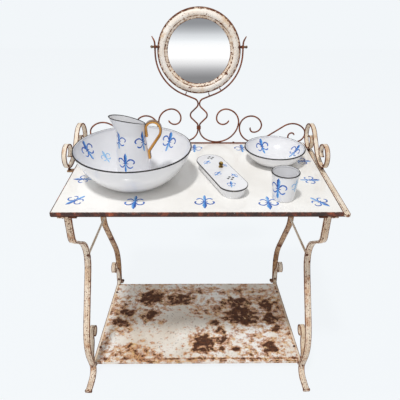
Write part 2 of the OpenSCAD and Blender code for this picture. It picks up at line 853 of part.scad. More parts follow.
module thumbscrew(side)
    piece(rust)
        on_pivot(side)
            union() {
                translate([0, 0, lug_face - lug_l + 2])
                    cylinder(h = pivot_x + rod_d / 2 + ball_gap + ball_d / 2 - lug_face + lug_l - 2,
                        d = screw_d, $fn = 32);
                translate([0, 0, pivot_x + rod_d / 2 + 0.5])
                    cylinder(h = ball_gap, d = screw_d + 3, $fn = 32);
                translate([0, 0, pivot_x + rod_d / 2 + ball_gap + ball_d / 2])
                    sphere(d = ball_d, $fn = 32);
            }

module left_thumbscrew() thumbscrew(-1);
module right_thumbscrew() thumbscrew(1);

/* Toilet set */
bead_d = 5;

// Wall that rises from a flat bottom of radius r0 to the rim at radius r1 and height h
function wall_slope(dx, dy, foot, half, n = 0, a = 40) = n == 6 ? a
    : wall_slope(dx, dy, foot, half, n + 1,
        atan2(dy - foot * (1 - cos(a - half)), dx - foot * sin(a - half)));

module basin_shape(r0, r1, h, foot, half) {
    dx = r1 - bead_d / 2 - r0;
    dy = h - wall / 2 - bead_d / 2;
    a = wall_slope(dx, dy, foot, half);
    chord = norm([dx - foot * sin(a - half), dy - foot * (1 - cos(a - half))]);
    turned([0, wall / 2, 0],
        [[0, r0], [foot, a - half], [chord / (2 * sin(half)), 2 * half]], wall, bead_d);
}

module wash_basin()
    piece(enamel)
        translate([basin_x, basin_y, top_h])
            basin_shape(basin_foot_r, basin_r, basin_h, 12, 24);

module small_bowl()
    piece(enamel)
        translate([bowl_x, bowl_y, top_h])
            basin_shape(bowl_foot_r, bowl_r, bowl_h, 10, 23.5);

module cup() {
    slope = atan2(cup_h, cup_r - cup_foot_r);
    piece(enamel)
        translate([cup_x, cup_y, top_h])
            turned([0, wall / 2, 0],
                [[0, cup_foot_r - 3 - wall / 2], [3, slope],
                 [0, (cup_h - wall / 2 - 3 * (1 - cos(slope)) - 2) / sin(slope)]], wall, 4);
}

/* Jug: rings that pass from the round body to the slanted rim with its spout */
jug_sides = 40;
spout_reach = 18;
spout_turn = 188;
rim_tilt = 15.5;
rim_tilt_turn = 32;
jug_base_z = top_h + wall;

// Ring of the jug, inset by t: row 0 to 2 is the round body, then up goes from 0 to 1 at the rim
function jug_ring(low, up, t) = [for (i = [0:jug_sides - 1])
    let (a = 360 * i / jug_sides,
         rim = jug_h + rim_tilt * cos(a - rim_tilt_turn),
         toward = (1 + cos(a)) / 2,
         r = jug_r + (jug_neck_r - jug_r) * low / jug_neck_h - t
             + up * up * 2 + pow(toward, 2) * spout_reach * up)
    [r * cos(a), r * sin(a), low + up * (rim - low)]];
jug_rows = concat([[0, 0], [jug_neck_h / 2, 0], [jug_neck_h, 0]],
    [for (k = [1:5]) [jug_neck_h, k / 5]]);
jug_skin = concat([for (row = jug_rows) jug_ring(row[0], row[1], 0)],
    [for (k = [len(jug_rows) - 1:-1:0])
        jug_ring(max(jug_rows[k][0], wall), jug_rows[k][1], wall)]);

module jug_body() {
    n = jug_sides;
    rows = len(jug_skin);
    piece(enamel)
        translate([basin_x + jug_x, basin_y + jug_y, jug_base_z])
            rotate([0, 0, spout_turn])
                polyhedron(
                    [for (ring = jug_skin) for (p = ring) p],
                    concat([[for (i = [0:n - 1]) i]],
                        [for (k = [0:rows - 2]) for (i = [0:n - 1])
                            let (a = k * n + i, b = k * n + (i + 1) % n)
                            each [[a, a + n, b], [b, a + n, b + n]]],
                        [[for (i = [n - 1:-1:0]) (rows - 1) * n + i]]));
}

rim_at_handle = jug_h + rim_tilt * cos(spout_turn + rim_tilt_turn) - jug_neck_h;
handle_w = 14;
handle_t = 8;
strap_z = 138;
wall_tilt = atan((jug_r - jug_neck_r) / jug_neck_h);
function jug_side(z) = jug_r + (jug_neck_r - jug_r) * z / jug_neck_h;
handle_turn = -124;
// How deep the strap's flat side is hollowed to lie on the round wall
strap_hollow = 0.8;
handle_start = [jug_side(strap_z) + (handle_t / 2 - strap_hollow) / cos(wall_tilt), strap_z,
    90 + wall_tilt];
handle_bow = [[0, 22], [22, -165 - wall_tilt], [35, handle_turn + 75]];
handle_foot = [12, -handle_turn - 90 + wall_tilt];
bow_end = path_end(handle_start, handle_bow);
foot_shift = path_end([0, 0, handle_turn], [handle_foot]);
meet = bow_end + foot_shift;
handle_run = (meet[0] - jug_side(meet[1]) - (handle_t / 2 - strap_hollow) / cos(wall_tilt))
    / (-cos(handle_turn) + tan(wall_tilt) * -sin(handle_turn));

module jug_handle()
    piece("#b9771e")
        translate([basin_x + jug_x, basin_y + jug_y, jug_base_z])
            difference() {
                rotate([90, 0, 0])
                    linear_extrude(handle_w, center = true)
                        polygon(ribbon(handle_start,
                            concat(handle_bow, [[0, handle_run], handle_foot, [0, 20]]),
                            -handle_t / 2, handle_t / 2));
                cylinder(h = jug_neck_h, r1 = jug_r + touch, r2 = jug_neck_r + touch, $fn = 96);
                translate([0, 0, jug_neck_h])
                    cylinder(h = rim_at_handle, r1 = jug_neck_r + touch, r2 = jug_neck_r + 2.2, $fn = 96);
            }

/* Brush box with its pierced lid */
module stadium(l, r0, r1, h) {
    for (x = [-l / 2, l / 2])
        translate([x, 0, 0]) cylinder(h = h, r1 = r0, r2 = r1, $fn = 48);
    rotate([90, 0, 90])
        linear_extrude(l, center = true)
            polygon([[-r0, 0], [r0, 0], [r1, h], [-r1, h]]);
}

module box_place(z)
    translate([box_x, box_y, z])
        rotate([0, 0, box_angle])
            children();

lid_overhang = 2;
box_top_r = lid_r - lid_overhang;

module brush_box()
    piece(enamel)
        box_place(top_h)
            difference() {
                stadium(box_l, box_foot_r, box_top_r, box_h);
                translate([0, 0, wall])
                    stadium(box_l, box_foot_r - wall, box_top_r - wall, box_h - wall + 0.01);
            }

hole_groups = [-103, 53];
hole_y = 8;
hole_pitch = 7;
hole_d = 4;
knob_x = -28;
knob_y = 12;
lid_z = top_h + box_h;

module brush_box_lid()
    piece(enamel)
        box_place(lid_z)
            difference() {
                union() {
                    stadium(box_l, lid_r, lid_r - 1, lid_t);
                    translate([0, 0, -3])
                        stadium(box_l, box_top_r - wall - 2, box_top_r - wall - 1.5, 3);
                }
                translate([0, 0, -4])
                    stadium(box_l, box_top_r - wall - 4, box_top_r - wall - 4, lid_t + 4 - wall);
                for (x = hole_groups, k = [-1, 1], turn = [0, 90])
                    translate([x, hole_y, -5])
                        rotate([0, 0, turn])
                            translate([k * hole_pitch, 0, 0])
                                cylinder(h = 20, d = hole_d, $fn = 24);
                translate([knob_x, knob_y, -5]) cylinder(h = 20, d = screw_d, $fn = 24);
            }

module lid_knob()
    piece("#a5813a")
        box_place(lid_z + lid_t)
            translate([knob_x, knob_y, 0]) {
                translate([0, 0, -wall - 3]) cylinder(h = wall + 5, d = screw_d, $fn = 24);
                translate([0, 0, -wall - 3]) cylinder(h = 3, d = screw_d + 3, $fn = 6);
                cylinder(h = 2.5, d = 15, $fn = 32);
                translate([0, 0, 2.5]) cylinder(h = 4, d1 = 9, d2 = 8, $fn = 32);
                translate([0, 0, 11.5]) sphere(d = 14, $fn = 32);
            }

left_front_leg();
right_front_leg();
left_back_leg();
right_back_leg();
left_stretcher();
right_stretcher();
left_shelf_cradle();
right_shelf_cradle();
front_rail();
back_rail();
left_side_rail();
right_side_rail();
enamel_top();
shelf();
top_tabs();
leg_bolts();
corner_rivets();
stretcher_rivets();
cradle_rivets();
shelf_screws();
left_side_scroll();
right_side_scroll();
side_scroll_rivets();
gallery_base_bar();
gallery_screws();
left_yoke_rod();
right_yoke_rod();
gallery_collar();
left_middle_scroll();
right_middle_scroll();
left_outer_scroll();
right_outer_scroll();
yoke_pegs();
mirror_frame();
mirror_glass();
mirror_back();
mirror_pivot_lugs();
pivot_washers();
left_thumbscrew();
right_thumbscrew();
wash_basin();
jug_body();
jug_handle();
brush_box();
brush_box_lid();
lid_knob();
small_bowl();
cup();
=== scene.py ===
"""Looks of the iron wash basin stand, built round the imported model.

Lengths in the modelling code are millimetres in the stand's own frame (origin on the
floor at the middle, +Z up, front towards -Y); meshes are written in metres.
Bars and rods follow the same paths of arcs and straights as the solids.
"""

from math import atan, atan2, ceil, copysign, cos, degrees, hypot, pi, radians, sin, tan

import bmesh
import bpy
from mathutils import Matrix, Vector, noise


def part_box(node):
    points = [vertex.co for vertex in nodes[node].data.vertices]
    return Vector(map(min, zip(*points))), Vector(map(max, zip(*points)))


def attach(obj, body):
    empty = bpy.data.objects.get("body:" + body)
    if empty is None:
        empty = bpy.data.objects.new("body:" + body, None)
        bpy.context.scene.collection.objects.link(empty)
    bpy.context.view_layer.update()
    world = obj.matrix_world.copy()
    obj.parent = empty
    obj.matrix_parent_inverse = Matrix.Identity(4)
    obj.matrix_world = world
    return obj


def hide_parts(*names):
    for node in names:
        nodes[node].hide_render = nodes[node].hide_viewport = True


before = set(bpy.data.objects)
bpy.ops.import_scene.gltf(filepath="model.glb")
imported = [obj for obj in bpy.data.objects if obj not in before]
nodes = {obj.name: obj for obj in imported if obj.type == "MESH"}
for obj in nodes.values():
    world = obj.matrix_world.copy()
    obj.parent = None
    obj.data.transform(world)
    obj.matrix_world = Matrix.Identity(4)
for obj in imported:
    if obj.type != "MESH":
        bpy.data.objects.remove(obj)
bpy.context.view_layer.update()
scene = bpy.context.scene

MM = 0.001
SHIFT = Vector((5.0, 22.473, 0.0))  # from the side frames' middle to the origin
X_AXIS, Y_AXIS, Z_AXIS = Vector((1, 0, 0)), Vector((0, 1, 0)), Vector((0, 0, 1))
HANDS = ((-1, "left"), (1, "right"))

# Sizes shared with the solids
TOP_H, TOP_T, RIM_H = 715.0, 3.0, 11.0
TOP_LEFT, TOP_RIGHT = -401.0, 405.0
TOP_FRONT, TOP_BACK = -250.53, 249.47
SIDE_X = 366.5
SIDE_ANGLE = radians(2.8)
SCROLL_X, SCROLL_Y, SCROLL_BASE = 416.0, 6.0, 720.0
GALLERY_X, GALLERY_Y = 9.5, 241.473
ROD_R, ROD_Z = 2.75, 718.0
COLLAR_Z = ROD_Z + 58.9
PIVOT_X, PIVOT_Z = 147.0, 1059.437
RING_Z = PIVOT_Z - 16.9


# ---- paths
# A step is (radius, turn in degrees, left if positive), or (0, length) for a straight.
def step_end(p, s):
    """End of one step from state p = (x, y, heading in degrees)."""
    x, y, h = p
    a = radians(h)
    if s[0] == 0:
        return (x + s[1] * cos(a), y + s[1] * sin(a), h)
    g = 1 if s[1] > 0 else -1
    b = radians(h + s[1])
    return (x + g * s[0] * (sin(b) - sin(a)), y + g * s[0] * (cos(a) - cos(b)), h + s[1])


def path_end(p, steps):
    for s in steps:
        p = step_end(p, s)
    return p


def walk(p, steps, pitch=6.0, turn=5.0):
    """Closely spaced states along a path."""
    out = [p]
    for s in steps:
        length = s[1] if s[0] == 0 else s[0] * radians(abs(s[1]))
        n = max(1, ceil(length / pitch))
        if s[0]:
            n = max(n, ceil(abs(s[1]) / turn))
        start = out[-1]
        out += [step_end(start, (s[0], s[1] * k / n)) for k in range(1, n + 1)]
    return out


def backwards(states):
    return [(x, y, h + 180) for x, y, h in reversed(states)]


# ---- meshes
def section(p, a, b, sa=1.0, sb=1.0, wear=0.0):
    """One cross-section of a tube: its centre, two axes, their scales and extra wear."""
    return (Vector(p), a, b, sa, sb, wear)


class Build:
    """Collects closed tubes and lathed forms; w is the wear at each point."""

    def __init__(self):
        self.v = []
        self.f = []
        self.w = []

    def skin(self, base, rows, n, closed=False):
        """Joins rows of n points each, from point base on, and caps open ends."""
        for i in range(rows if closed else rows - 1):
            lo, hi = base + i * n, base + (i + 1) % rows * n
            for k in range(n):
                j = (k + 1) % n
                self.f.append((lo + k, lo + j, hi + j, hi + k))
        if not closed:
            last = base + (rows - 1) * n
            self.f += [tuple(range(base, base + n)), tuple(range(last, last + n))]

    def tube(self, sections, profile, closed=False):
        """profile: (along axis a, along axis b, wear)."""
        base = len(self.v)
        for p, a, b, sa, sb, wear in sections:
            for u, v, w in profile:
                self.v.append(p + a * (u * sa) + b * (v * sb))
                self.w.append(min(1.0, max(w, wear)))
        self.skin(base, len(sections), len(profile), closed)

    def lathe(self, centre, profile, segments, to_front=False):
        """profile: (radius, height, wear), from axis to axis or closed.

        The axis is +Z, or -Y if the height is to point to the front.
        """
        rings = []
        for r, h, w in profile:
            count = segments if r else 1
            rings.append(range(len(self.v), len(self.v) + count))
            for k in range(count):
                a = 2 * pi * k / segments
                x, y = r * cos(a), r * sin(a)
                self.v.append(centre + Vector((x, -h, y) if to_front else (x, y, h)))
                self.w.append(w)
        pairs = list(zip(rings, rings[1:]))
        if profile[0][0]:
            pairs.append((rings[-1], rings[0]))
        for a, b in pairs:
            for k in range(segments):
                j = (k + 1) % segments
                if len(a) == 1:
                    self.f.append((a[0], b[k], b[j]))
                elif len(b) == 1:
                    self.f.append((a[k], a[j], b[0]))
                else:
                    self.f.append((a[k], a[j], b[j], b[k]))

    def make(self, name, place=None, sharp=38, attribute="wear"):
        """The collected forms as one object; edges over sharp degrees stay sharp."""
        mesh = bpy.data.meshes.new(name)
        points = [place(p) for p in self.v] if place else self.v
        mesh.from_pydata([tuple(p * MM) for p in points], [], self.f)
        layer = mesh.attributes.new(attribute, "FLOAT", "POINT")
        layer.data.foreach_set("value", self.w)
        bm = bmesh.new()
        bm.from_mesh(mesh)
        bmesh.ops.recalc_face_normals(bm, faces=bm.faces)
        bm.to_mesh(mesh)
        bm.free()
        mesh.shade_smooth()
        mesh.set_sharp_from_angle(angle=radians(sharp))
        obj = bpy.data.objects.new(name, mesh)
        scene.collection.objects.link(obj)
        return obj


def dress(obj, body, material, slot, *replaced):
    obj.data.materials.append(mats[material])
    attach(obj, body)
    if replaced:
        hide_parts(*replaced)


def flat_profile(w, t, r=0.9):
    """Flat bar: u across its width w, v across its thickness t, rounded worn edges."""
    a, b = w / 2, t / 2
    side = [
        (a - 3.2, b, 0.0), (a - 2.0, b, 0.75), (a - r, b, 1.0), (a - 0.3 * r, b - 0.3 * r, 1.0),
        (a, b - r, 0.8),
    ]
    half = side + [(u, -v, wear) for u, v, wear in reversed(side)]
    return [(0, b, 0.0)] + half + [(0, -b, 0.0)] + [(-u, v, wear) for u, v, wear in reversed(half)]


def moulded_profile(w, t, ridge_w, ridge_h):
    """Bar with a rounded ridge along its outer face, which is at -v."""
    a, b, c = w / 2, t / 2, ridge_w / 2
    half = [
        (0, b, 0.0), (a - 3, b, 0.0), (a - 1, b, 0.6), (a - 0.3, b - 0.3, 1.0), (a, b - 1, 0.6),
        (a, 0, 0.2), (a, 1.2 - b, 0.8), (a - 0.3, 0.4 - b, 1.0), (a - 1.4, -b, 1.0),
        (a - 2.8, -b, 0.1), (c + 1.4, -b, 0.05), (c + 0.6, -b - 0.05, 0.6), (c, -b - 0.5, 0.5),
        (c - 0.5, -b - 0.75 * ridge_h, 0.1), (c - 1.6, -b - 0.96 * ridge_h, 0.0),
        (0, -b - ridge_h, 0.05),
    ]
    return half + [(-u, v, wear) for u, v, wear in reversed(half[1:-1])]


def round_profile(a, b, n, wear=0.0):
    """Ellipse with half axes a and b."""
    turns = [2 * pi * k / n for k in range(n)]
    return [(a * cos(t), b * sin(t), wear) for t in turns]


# ---- places
def turned(x, y, angle):
    c, s = cos(angle), sin(angle)
    return x * c - y * s, x * s + y * c


def side_place(side):
    """From a side frame's own plane (x across, y, z) to the stand."""

    def place(p):
        x, y = turned(p.x, p.y, SIDE_ANGLE)
        return Vector((side * (x + SIDE_X), y, p.z)) + SHIFT

    return place


def scroll_place(side):
    """The same for a side scroll, which stands on its rail."""

    def place(p):
        x, y = turned(p.x, p.y - SCROLL_Y, SIDE_ANGLE)
        return Vector((side * (x + SCROLL_X) - SHIFT.x, y + SCROLL_Y, p.z + SCROLL_BASE)) + SHIFT

    return place


def gallery_place(side):
    return lambda p: Vector((side * p.x + GALLERY_X, p.y + GALLERY_Y, p.z))


def side_frames(states, sign=1):
    """Sections of a bar in the plane of depth and height; sign -1 sends it to the front."""
    out = []
    for y, z, h in states:
        a = radians(h)
        b = Vector((0, -sign * sin(a), cos(a)))
        uneven = 1 + 0.025 * noise.noise(Vector((y * 0.03, z * 0.03, 7.0)))
        out.append(section((0, sign * y, z), X_AXIS, b, uneven))
    return out


def rod_frames(states, tip):
    """Sections of a round rod in the gallery's plane; the last four narrow to tip."""
    narrowing = 4
    out = []
    for k, (x, z, h) in enumerate(states):
        a = radians(h)
        b = Vector((-sin(a), 0, cos(a)))
        s = 1 + 0.05 * noise.noise(Vector((x * 0.06, z * 0.06, 3.0)))
        left = len(states) - 1 - k
        if left < narrowing:
            s *= tip + (1 - tip) * left / narrowing
        s = min(s, 1.02)
        out.append(section((x, 0, z), Y_AXIS, b, s, s))
    return out


# ---- materials
def rgb(r, g, b):
    """Screen colour 0-255 to the linear colour that renders as it."""
    out = []
    for c in (r, g, b):
        c /= 255
        out.append(c / 12.92 if c <= 0.04045 else ((c + 0.055) / 1.055) ** 2.4)
    return (*out, 1.0)


def join(tree, value, socket):
    if isinstance(value, bpy.types.NodeSocket):
        tree.links.new(value, socket)
    else:
        socket.default_value = value


def add(tree, kind, inputs, **settings):
    """A new node, whose sockets take plain values or other nodes' outputs."""
    node = tree.nodes.new(f"ShaderNode{kind}")
    for key, value in settings.items():
        setattr(node, key, value)
    for key, value in inputs.items():
        join(tree, value, node.inputs[key])
    return node


class Paint:
    """A procedural material and the few node kinds that it is built from."""

    def __init__(self, name, roughness, **plain):
        self.material = bpy.data.materials.new(name)
        self.material.use_nodes = True
        self.tree = self.material.node_tree
        self.shader = self.tree.nodes["Principled BSDF"]
        self.place = self.add("TexCoord", {}).outputs["Object"]
        self.set("Roughness", roughness)
        for key, value in plain.items():
            self.set(key.replace("_", " "), value)

    def add(self, kind, inputs, **settings):
        return add(self.tree, kind, inputs, **settings)

    def set(self, key, value):
        join(self.tree, value, self.shader.inputs[key])

    def noise(self, scale, detail=4.0, rough=0.55, distortion=0.0, stretch=None):
        vector = self.place
        if stretch:
            vector = self.add("Mapping", {"Scale": stretch, "Vector": vector}).outputs[0]
        sockets = {"Scale": scale, "Detail": detail, "Roughness": rough, "Distortion": distortion}
        return self.add("TexNoise", {**sockets, "Vector": vector}).outputs["Fac"]

    def attribute(self, name):
        return self.add("Attribute", {}, attribute_name=name).outputs["Fac"]

    def height(self):
        return self.add("SeparateXYZ", {0: self.place}).outputs[2]

    def calc(self, operation, a, b):
        return self.add("Math", {0: a, 1: b}, operation=operation).outputs[0]

    def times(self, value, factor):
        return self.calc("MULTIPLY", value, factor)

    def ragged(self, value, pattern, amount):
        """A value plus a noise pattern about its middle, which breaks up its borders."""
        return self.calc("ADD", value, self.times(self.calc("SUBTRACT", pattern, 0.5), amount))

    def step(self, value, low, high, to_low=0.0, to_high=1.0):
        """Smooth step of a value from low to high."""
        sockets = {"From Min": low, "From Max": high, "To Min": to_low, "To Max": to_high}
        node = self.add("MapRange", {**sockets, "Value": value}, interpolation_type="SMOOTHSTEP")
        return node.outputs[0]

    def ramp(self, fac, *stops):
        """stops: (position, red, green, blue)."""
        node = self.add("ValToRGB", {0: fac})
        points = node.color_ramp.elements
        while len(points) < len(stops):
            points.new(0.5)
        for point, (position, *colour) in zip(points, stops):
            point.position = position
            point.color = rgb(*colour)
        return node.outputs[0]

    def mix(self, fac, a, b):
        return self.add("Mix", {"Factor": fac, 6: a, 7: b}, data_type="RGBA").outputs[2]

    def worn(self, lost, base, under, smooth, rough):
        """Colour and roughness, with what lies under the finish where it is lost."""
        self.set("Base Color", self.mix(lost, base, under))
        self.set("Roughness", self.step(lost, 0, 1, smooth, rough))

    def bump(self, height, strength, distance):
        sockets = {"Height": height, "Strength": strength, "Distance": distance}
        self.set("Normal", self.add("Bump", sockets).outputs[0])


def old_paint(name, light, shade, brown, stain, chips, edge, specks):
    """Aged cream paint on iron: stains, chips down to rust, bare worn edges and specks.

    The last four are thresholds, and a lower one gives more of its kind.
    """
    m = Paint(name, 0.5)
    base = m.ramp(m.noise(14, 5), (0.35, *shade), (0.6, *light))
    stained = m.step(m.noise(26, 8, 0.62), stain, stain + 0.16)
    base = m.mix(m.times(stained, 0.75), base, rgb(*brown))
    rust = m.ramp(m.noise(90, 6, 0.65), (0.3, 62, 34, 22), (0.5, 104, 56, 32),
                  (0.68, 132, 72, 38), (0.8, 176, 96, 44))
    fine = m.noise(120, 5, 0.6)
    chip = m.step(m.noise(48, 7, 0.68), chips, chips + 0.03)
    speck = m.step(m.noise(230, 3, 0.5), specks, specks + 0.03)
    worn = m.calc("ADD", m.times(m.attribute("wear"), 0.42), m.times(fine, 0.7))
    bare = m.step(worn, edge, edge + 0.07)
    halo = m.step(worn, edge - 0.14, edge + 0.02)
    base = m.mix(m.times(halo, 0.65), base, rgb(*brown))
    lost = m.calc("MAXIMUM", m.calc("MAXIMUM", chip, speck), bare)
    m.worn(lost, base, rust, 0.42, 0.85)
    m.bump(m.calc("ADD", m.times(lost, -1.0), m.times(fine, 0.5)), 0.45, 0.0004)
    return m.material


def rusty_iron(name, paint_left, scale, dark, brown, orange):
    """Rusted iron from dark scale to orange powder, with remains of old paint."""
    m = Paint(name, 0.8)
    rust = m.ramp(m.noise(60, 7, 0.65), (0.32, *scale), (0.5, *dark), (0.64, *brown), (0.78, *orange))
    left = m.step(m.noise(34, 8, 0.7), paint_left, paint_left + 0.05)
    m.set("Base Color", m.mix(left, rust, rgb(196, 170, 142)))
    m.bump(m.noise(260, 4, 0.6), 0.5, 0.0004)
    return m.material


def mottled(name, roughness, pattern, stops, grain=None, strength=0.0, depth=0.0, **plain):
    """One noise pattern through a ramp of colours, and a second one as the bump."""
    m = Paint(name, roughness, **plain)
    m.set("Base Color", m.ramp(m.noise(*pattern), *stops))
    if grain:
        m.bump(m.noise(*grain), strength, depth)
    return m.material


def set_enamel():
    """Glossy vitreous enamel with worn dark rims, faint shade and a few chips."""
    m = Paint("white_set_enamel", 0.16, Coat_Weight=0.4, Coat_Roughness=0.08)
    base = m.ramp(m.noise(7, 4), (0.35, 231, 231, 234), (0.6, 241, 241, 243))
    rim = m.step(m.ragged(m.attribute("wear"), m.noise(150, 4, 0.6), 0.8), 0.55, 0.67)
    chip = m.step(m.noise(85, 5, 0.62), 0.73, 0.75)
    dark = m.ramp(m.noise(40, 5, 0.6), (0.45, 15, 14, 16), (0.66, 50, 40, 38), (0.76, 128, 92, 68))
    lost = m.calc("MAXIMUM", rim, chip)
    m.set("Coat Weight", m.step(lost, 0, 1, 0.4, 0.02))
    m.worn(lost, base, dark, 0.16, 0.7)
    m.bump(m.noise(30, 2), 0.06, 0.001)
    return m.material


def top_enamel():
    """Sheet: warm white enamel, a thin dark line at its ends and a rusted front rim."""
    m = Paint("white_top_enamel", 0.2, Coat_Weight=0.3, Coat_Roughness=0.12)
    base = m.ramp(m.noise(5, 4), (0.35, 242, 239, 233), (0.62, 251, 249, 245))
    wear = m.ragged(m.attribute("wear"), m.noise(140, 5, 0.62), 0.9)
    bare = m.step(wear, 0.5, 0.66)
    halo = m.step(wear, 0.12, 0.6)
    rust = m.ramp(m.noise(28, 6, 0.7), (0.34, 30, 18, 16), (0.5, 66, 34, 24), (0.6, 128, 60, 34),
                  (0.68, 196, 96, 48), (0.78, 214, 150, 104))
    base = m.mix(m.times(halo, 0.5), base, rgb(214, 190, 160))
    m.worn(bare, base, rust, 0.2, 0.8)
    m.bump(m.times(bare, -1.0), 0.3, 0.0004)
    return m.material


def shelf_paint():
    """Shelf: cream paint with big rusted patches, whose places the mesh carries."""
    m = Paint("rusted_shelf_paint", 0.55)
    base = m.ramp(m.noise(6, 4), (0.32, 222, 210, 194), (0.5, 243, 236, 225), (0.66, 254, 251, 246))
    fine = m.noise(44, 10, 0.76, stretch=(0.95, 1.2, 1.0))
    patch = m.ragged(m.attribute("blotch"), fine, 5.0)
    stain = m.step(patch, 0.0, 0.5)
    crust = m.step(patch, 0.68, 0.74)
    orange = m.ramp(m.noise(48, 7, 0.7), (0.35, 230, 186, 116), (0.5, 198, 124, 46), (0.66, 142, 74, 26))
    base = m.mix(m.times(stain, 0.84), base, orange)
    dark = m.ramp(m.noise(75, 6, 0.65), (0.32, 48, 27, 16), (0.52, 84, 47, 25), (0.7, 120, 72, 38))
    freckle = m.step(m.noise(105, 7, 0.75), 0.59, 0.63)
    lost = m.calc("MAXIMUM", crust, freckle)
    m.worn(lost, base, dark, 0.45, 0.9)
    m.bump(m.calc("ADD", m.times(lost, -0.8), fine), 0.4, 0.0006)
    return m.material


def fleur_paint():
    """Blue brushed on, streaked from the deep to the thin side of a stroke."""
    m = Paint("blue_brush_paint", 0.22, Coat_Weight=0.3, Coat_Roughness=0.1)
    tone = m.ragged(m.attribute("tone"), m.noise(170, 3, 0.6, 0.6), 1.3)
    m.set("Base Color", m.ramp(tone, (0.05, 14, 58, 138), (0.34, 28, 104, 200), (0.6, 72, 150, 222),
                               (0.95, 160, 206, 240)))
    return m.material


def amber_enamel():
    """The handle's glossy amber, brown along its edges."""
    m = Paint("amber_enamel", 0.22, Coat_Weight=0.4, Coat_Roughness=0.1)
    amber = m.ramp(m.noise(22, 4), (0.35, 184, 122, 34), (0.65, 228, 166, 74))
    edge = m.step(m.attribute("wear"), 0.4, 0.95)
    m.set("Base Color", m.mix(edge, amber, rgb(88, 52, 24)))
    m.bump(m.noise(40, 3), 0.1, 0.0008)
    return m.material


def mirror_painted_reflection():
    """Silvered glass with a painted reflection: grey towards its top and bottom, white in the middle."""
    m = Paint("mirror_glass_painted_reflection", 0.06, Metallic=1.0)
    glass_r = 104
    level = m.ragged(m.height(), m.noise(3, 2), 0.012)
    rise = m.step(level, (RING_Z - glass_r) * MM, (RING_Z + glass_r) * MM)
    m.set("Base Color", m.ramp(
        rise, (0.02, 136, 136, 138), (0.12, 180, 180, 182), (0.23, 226, 226, 227), (0.36, 255, 255, 255),
        (0.73, 255, 255, 255), (0.86, 226, 226, 227), (0.99, 152, 152, 154)))
    return m.material


mats = {
    "cream": old_paint("old_cream_paint", (240, 224, 203), (226, 198, 168), (190, 134, 88),
                       stain=0.52, chips=0.59, edge=0.6, specks=0.6),
    # Darker, browner copy of the cream paint for the back legs and the left side rail: painted shade,
    # with more stains and chips as well.
    "back": old_paint("cream_paint_with_painted_shade", (212, 176, 136), (178, 134, 90), (130, 84, 48),
                      stain=0.44, chips=0.56, edge=0.55, specks=0.6),
    "scroll": old_paint("old_scroll_paint", (241, 228, 210), (225, 203, 174), (190, 142, 98),
                        stain=0.52, chips=0.63, edge=0.58, specks=0.67),
    "ring": old_paint("old_ring_paint", (254, 247, 238), (240, 226, 210), (216, 180, 140),
                      stain=0.52, chips=0.61, edge=0.6, specks=0.66),
    "rod": rusty_iron("rusty_rod", 0.7, (76, 38, 22), (122, 64, 36), (158, 88, 48), (198, 122, 70)),
    "fixing": rusty_iron("rusty_fixing", 0.8, (52, 28, 20), (88, 48, 30), (112, 62, 36), (150, 86, 44)),
    "set": set_enamel(),
    "top": top_enamel(),
    "shelf": shelf_paint(),
    "fleur": fleur_paint(),
    "amber": amber_enamel(),
    "glass": mirror_painted_reflection(),
    # Near-black for the discs over the lid's drain holes: painted shade.
    "hole": Paint("drain_hole_painted_shade", 0.7, Base_Color=rgb(14, 13, 14)).material,
    # Near-black of the lid's edge: dark enamel, and painted shade between the lid and the box.
    "dark": mottled("dark_edge_enamel_and_shade", 0.3, (90, 5, 0.62),
                    ((0.4, 34, 31, 34), (0.62, 58, 50, 48), (0.72, 150, 140, 132))),
    "brass": mottled("old_brass", 0.28, (120, 4), ((0.38, 74, 58, 34), (0.6, 176, 144, 76)),
                     (300, 3), 0.15, 0.0003, Metallic=1.0),
    "backing": mottled("backing_sheet", 0.75, (30, 7, 0.65),
                       ((0.35, 84, 62, 46), (0.55, 138, 112, 86), (0.7, 166, 142, 112)),
                       (120, 4), 0.3, 0.0005),
    "screw": mottled("dull_steel", 0.45, (140, 5),
                     ((0.35, 58, 46, 40), (0.55, 122, 98, 76), (0.72, 170, 150, 120)),
                     (300, 3), 0.2, 0.0003, Metallic=0.8),
}

# ---- legs
LEG_W, LEG_T, RIDGE_W, RIDGE_H = 22.0, 7.0, 8.0, 2.0
FOOT_REACH, FLOOR_MID, ANKLE_R = 315.0, LEG_T / 2, 34
LEG_LOW = [(ANKLE_R, -104), (0, 50), (182, 44)]
LEG_HIGH = [(115, -30), (96, -52.5), (0, 65), (37, 52.5), (0, 86)]
FLANGE_MID_Z, BEND_R, FLANGE_ROOM, BACK_FLANGE = 696.5, 12.0, 255, 17
TOES = {"front": 47.0, "back": 2.0}
ANKLE = (FOOT_REACH - TOES["front"], FLOOR_MID, 180)
shin = path_end(ANKLE, LEG_LOW)
rise = path_end((0, 0, shin[2]), LEG_HIGH)[1]
shin_l = (FLANGE_MID_Z - BEND_R - rise - shin[1]) / sin(radians(shin[2]))
to_knee = LEG_LOW + [(0, shin_l), LEG_HIGH[0]]
leg_up = to_knee + LEG_HIGH[1:]
knee = path_end(ANKLE, to_knee)
leg_top = path_end(ANKLE, leg_up)
moulding = moulded_profile(LEG_W, LEG_T, RIDGE_W, RIDGE_H)
plain_bar = [(u, max(v, -LEG_T / 2), w) for u, v, w in moulding]
FLANGES = {
    "front": [(BEND_R, -90), (0, FLANGE_ROOM - leg_top[0])],
    "back": [(BEND_R, 90), (0, BACK_FLANGE)],
}
# Forged pad at the toe's end, crowned a little: (from the end, scale, wear)
PAD = ((0.3, 0.9, 0.9), (1.2, 1.0, 0.4), (4.8, 1.0, 0.4), (5.7, 0.9, 0.9))
PAD_W, PAD_T, PAD_R = 25, 12, 3.4
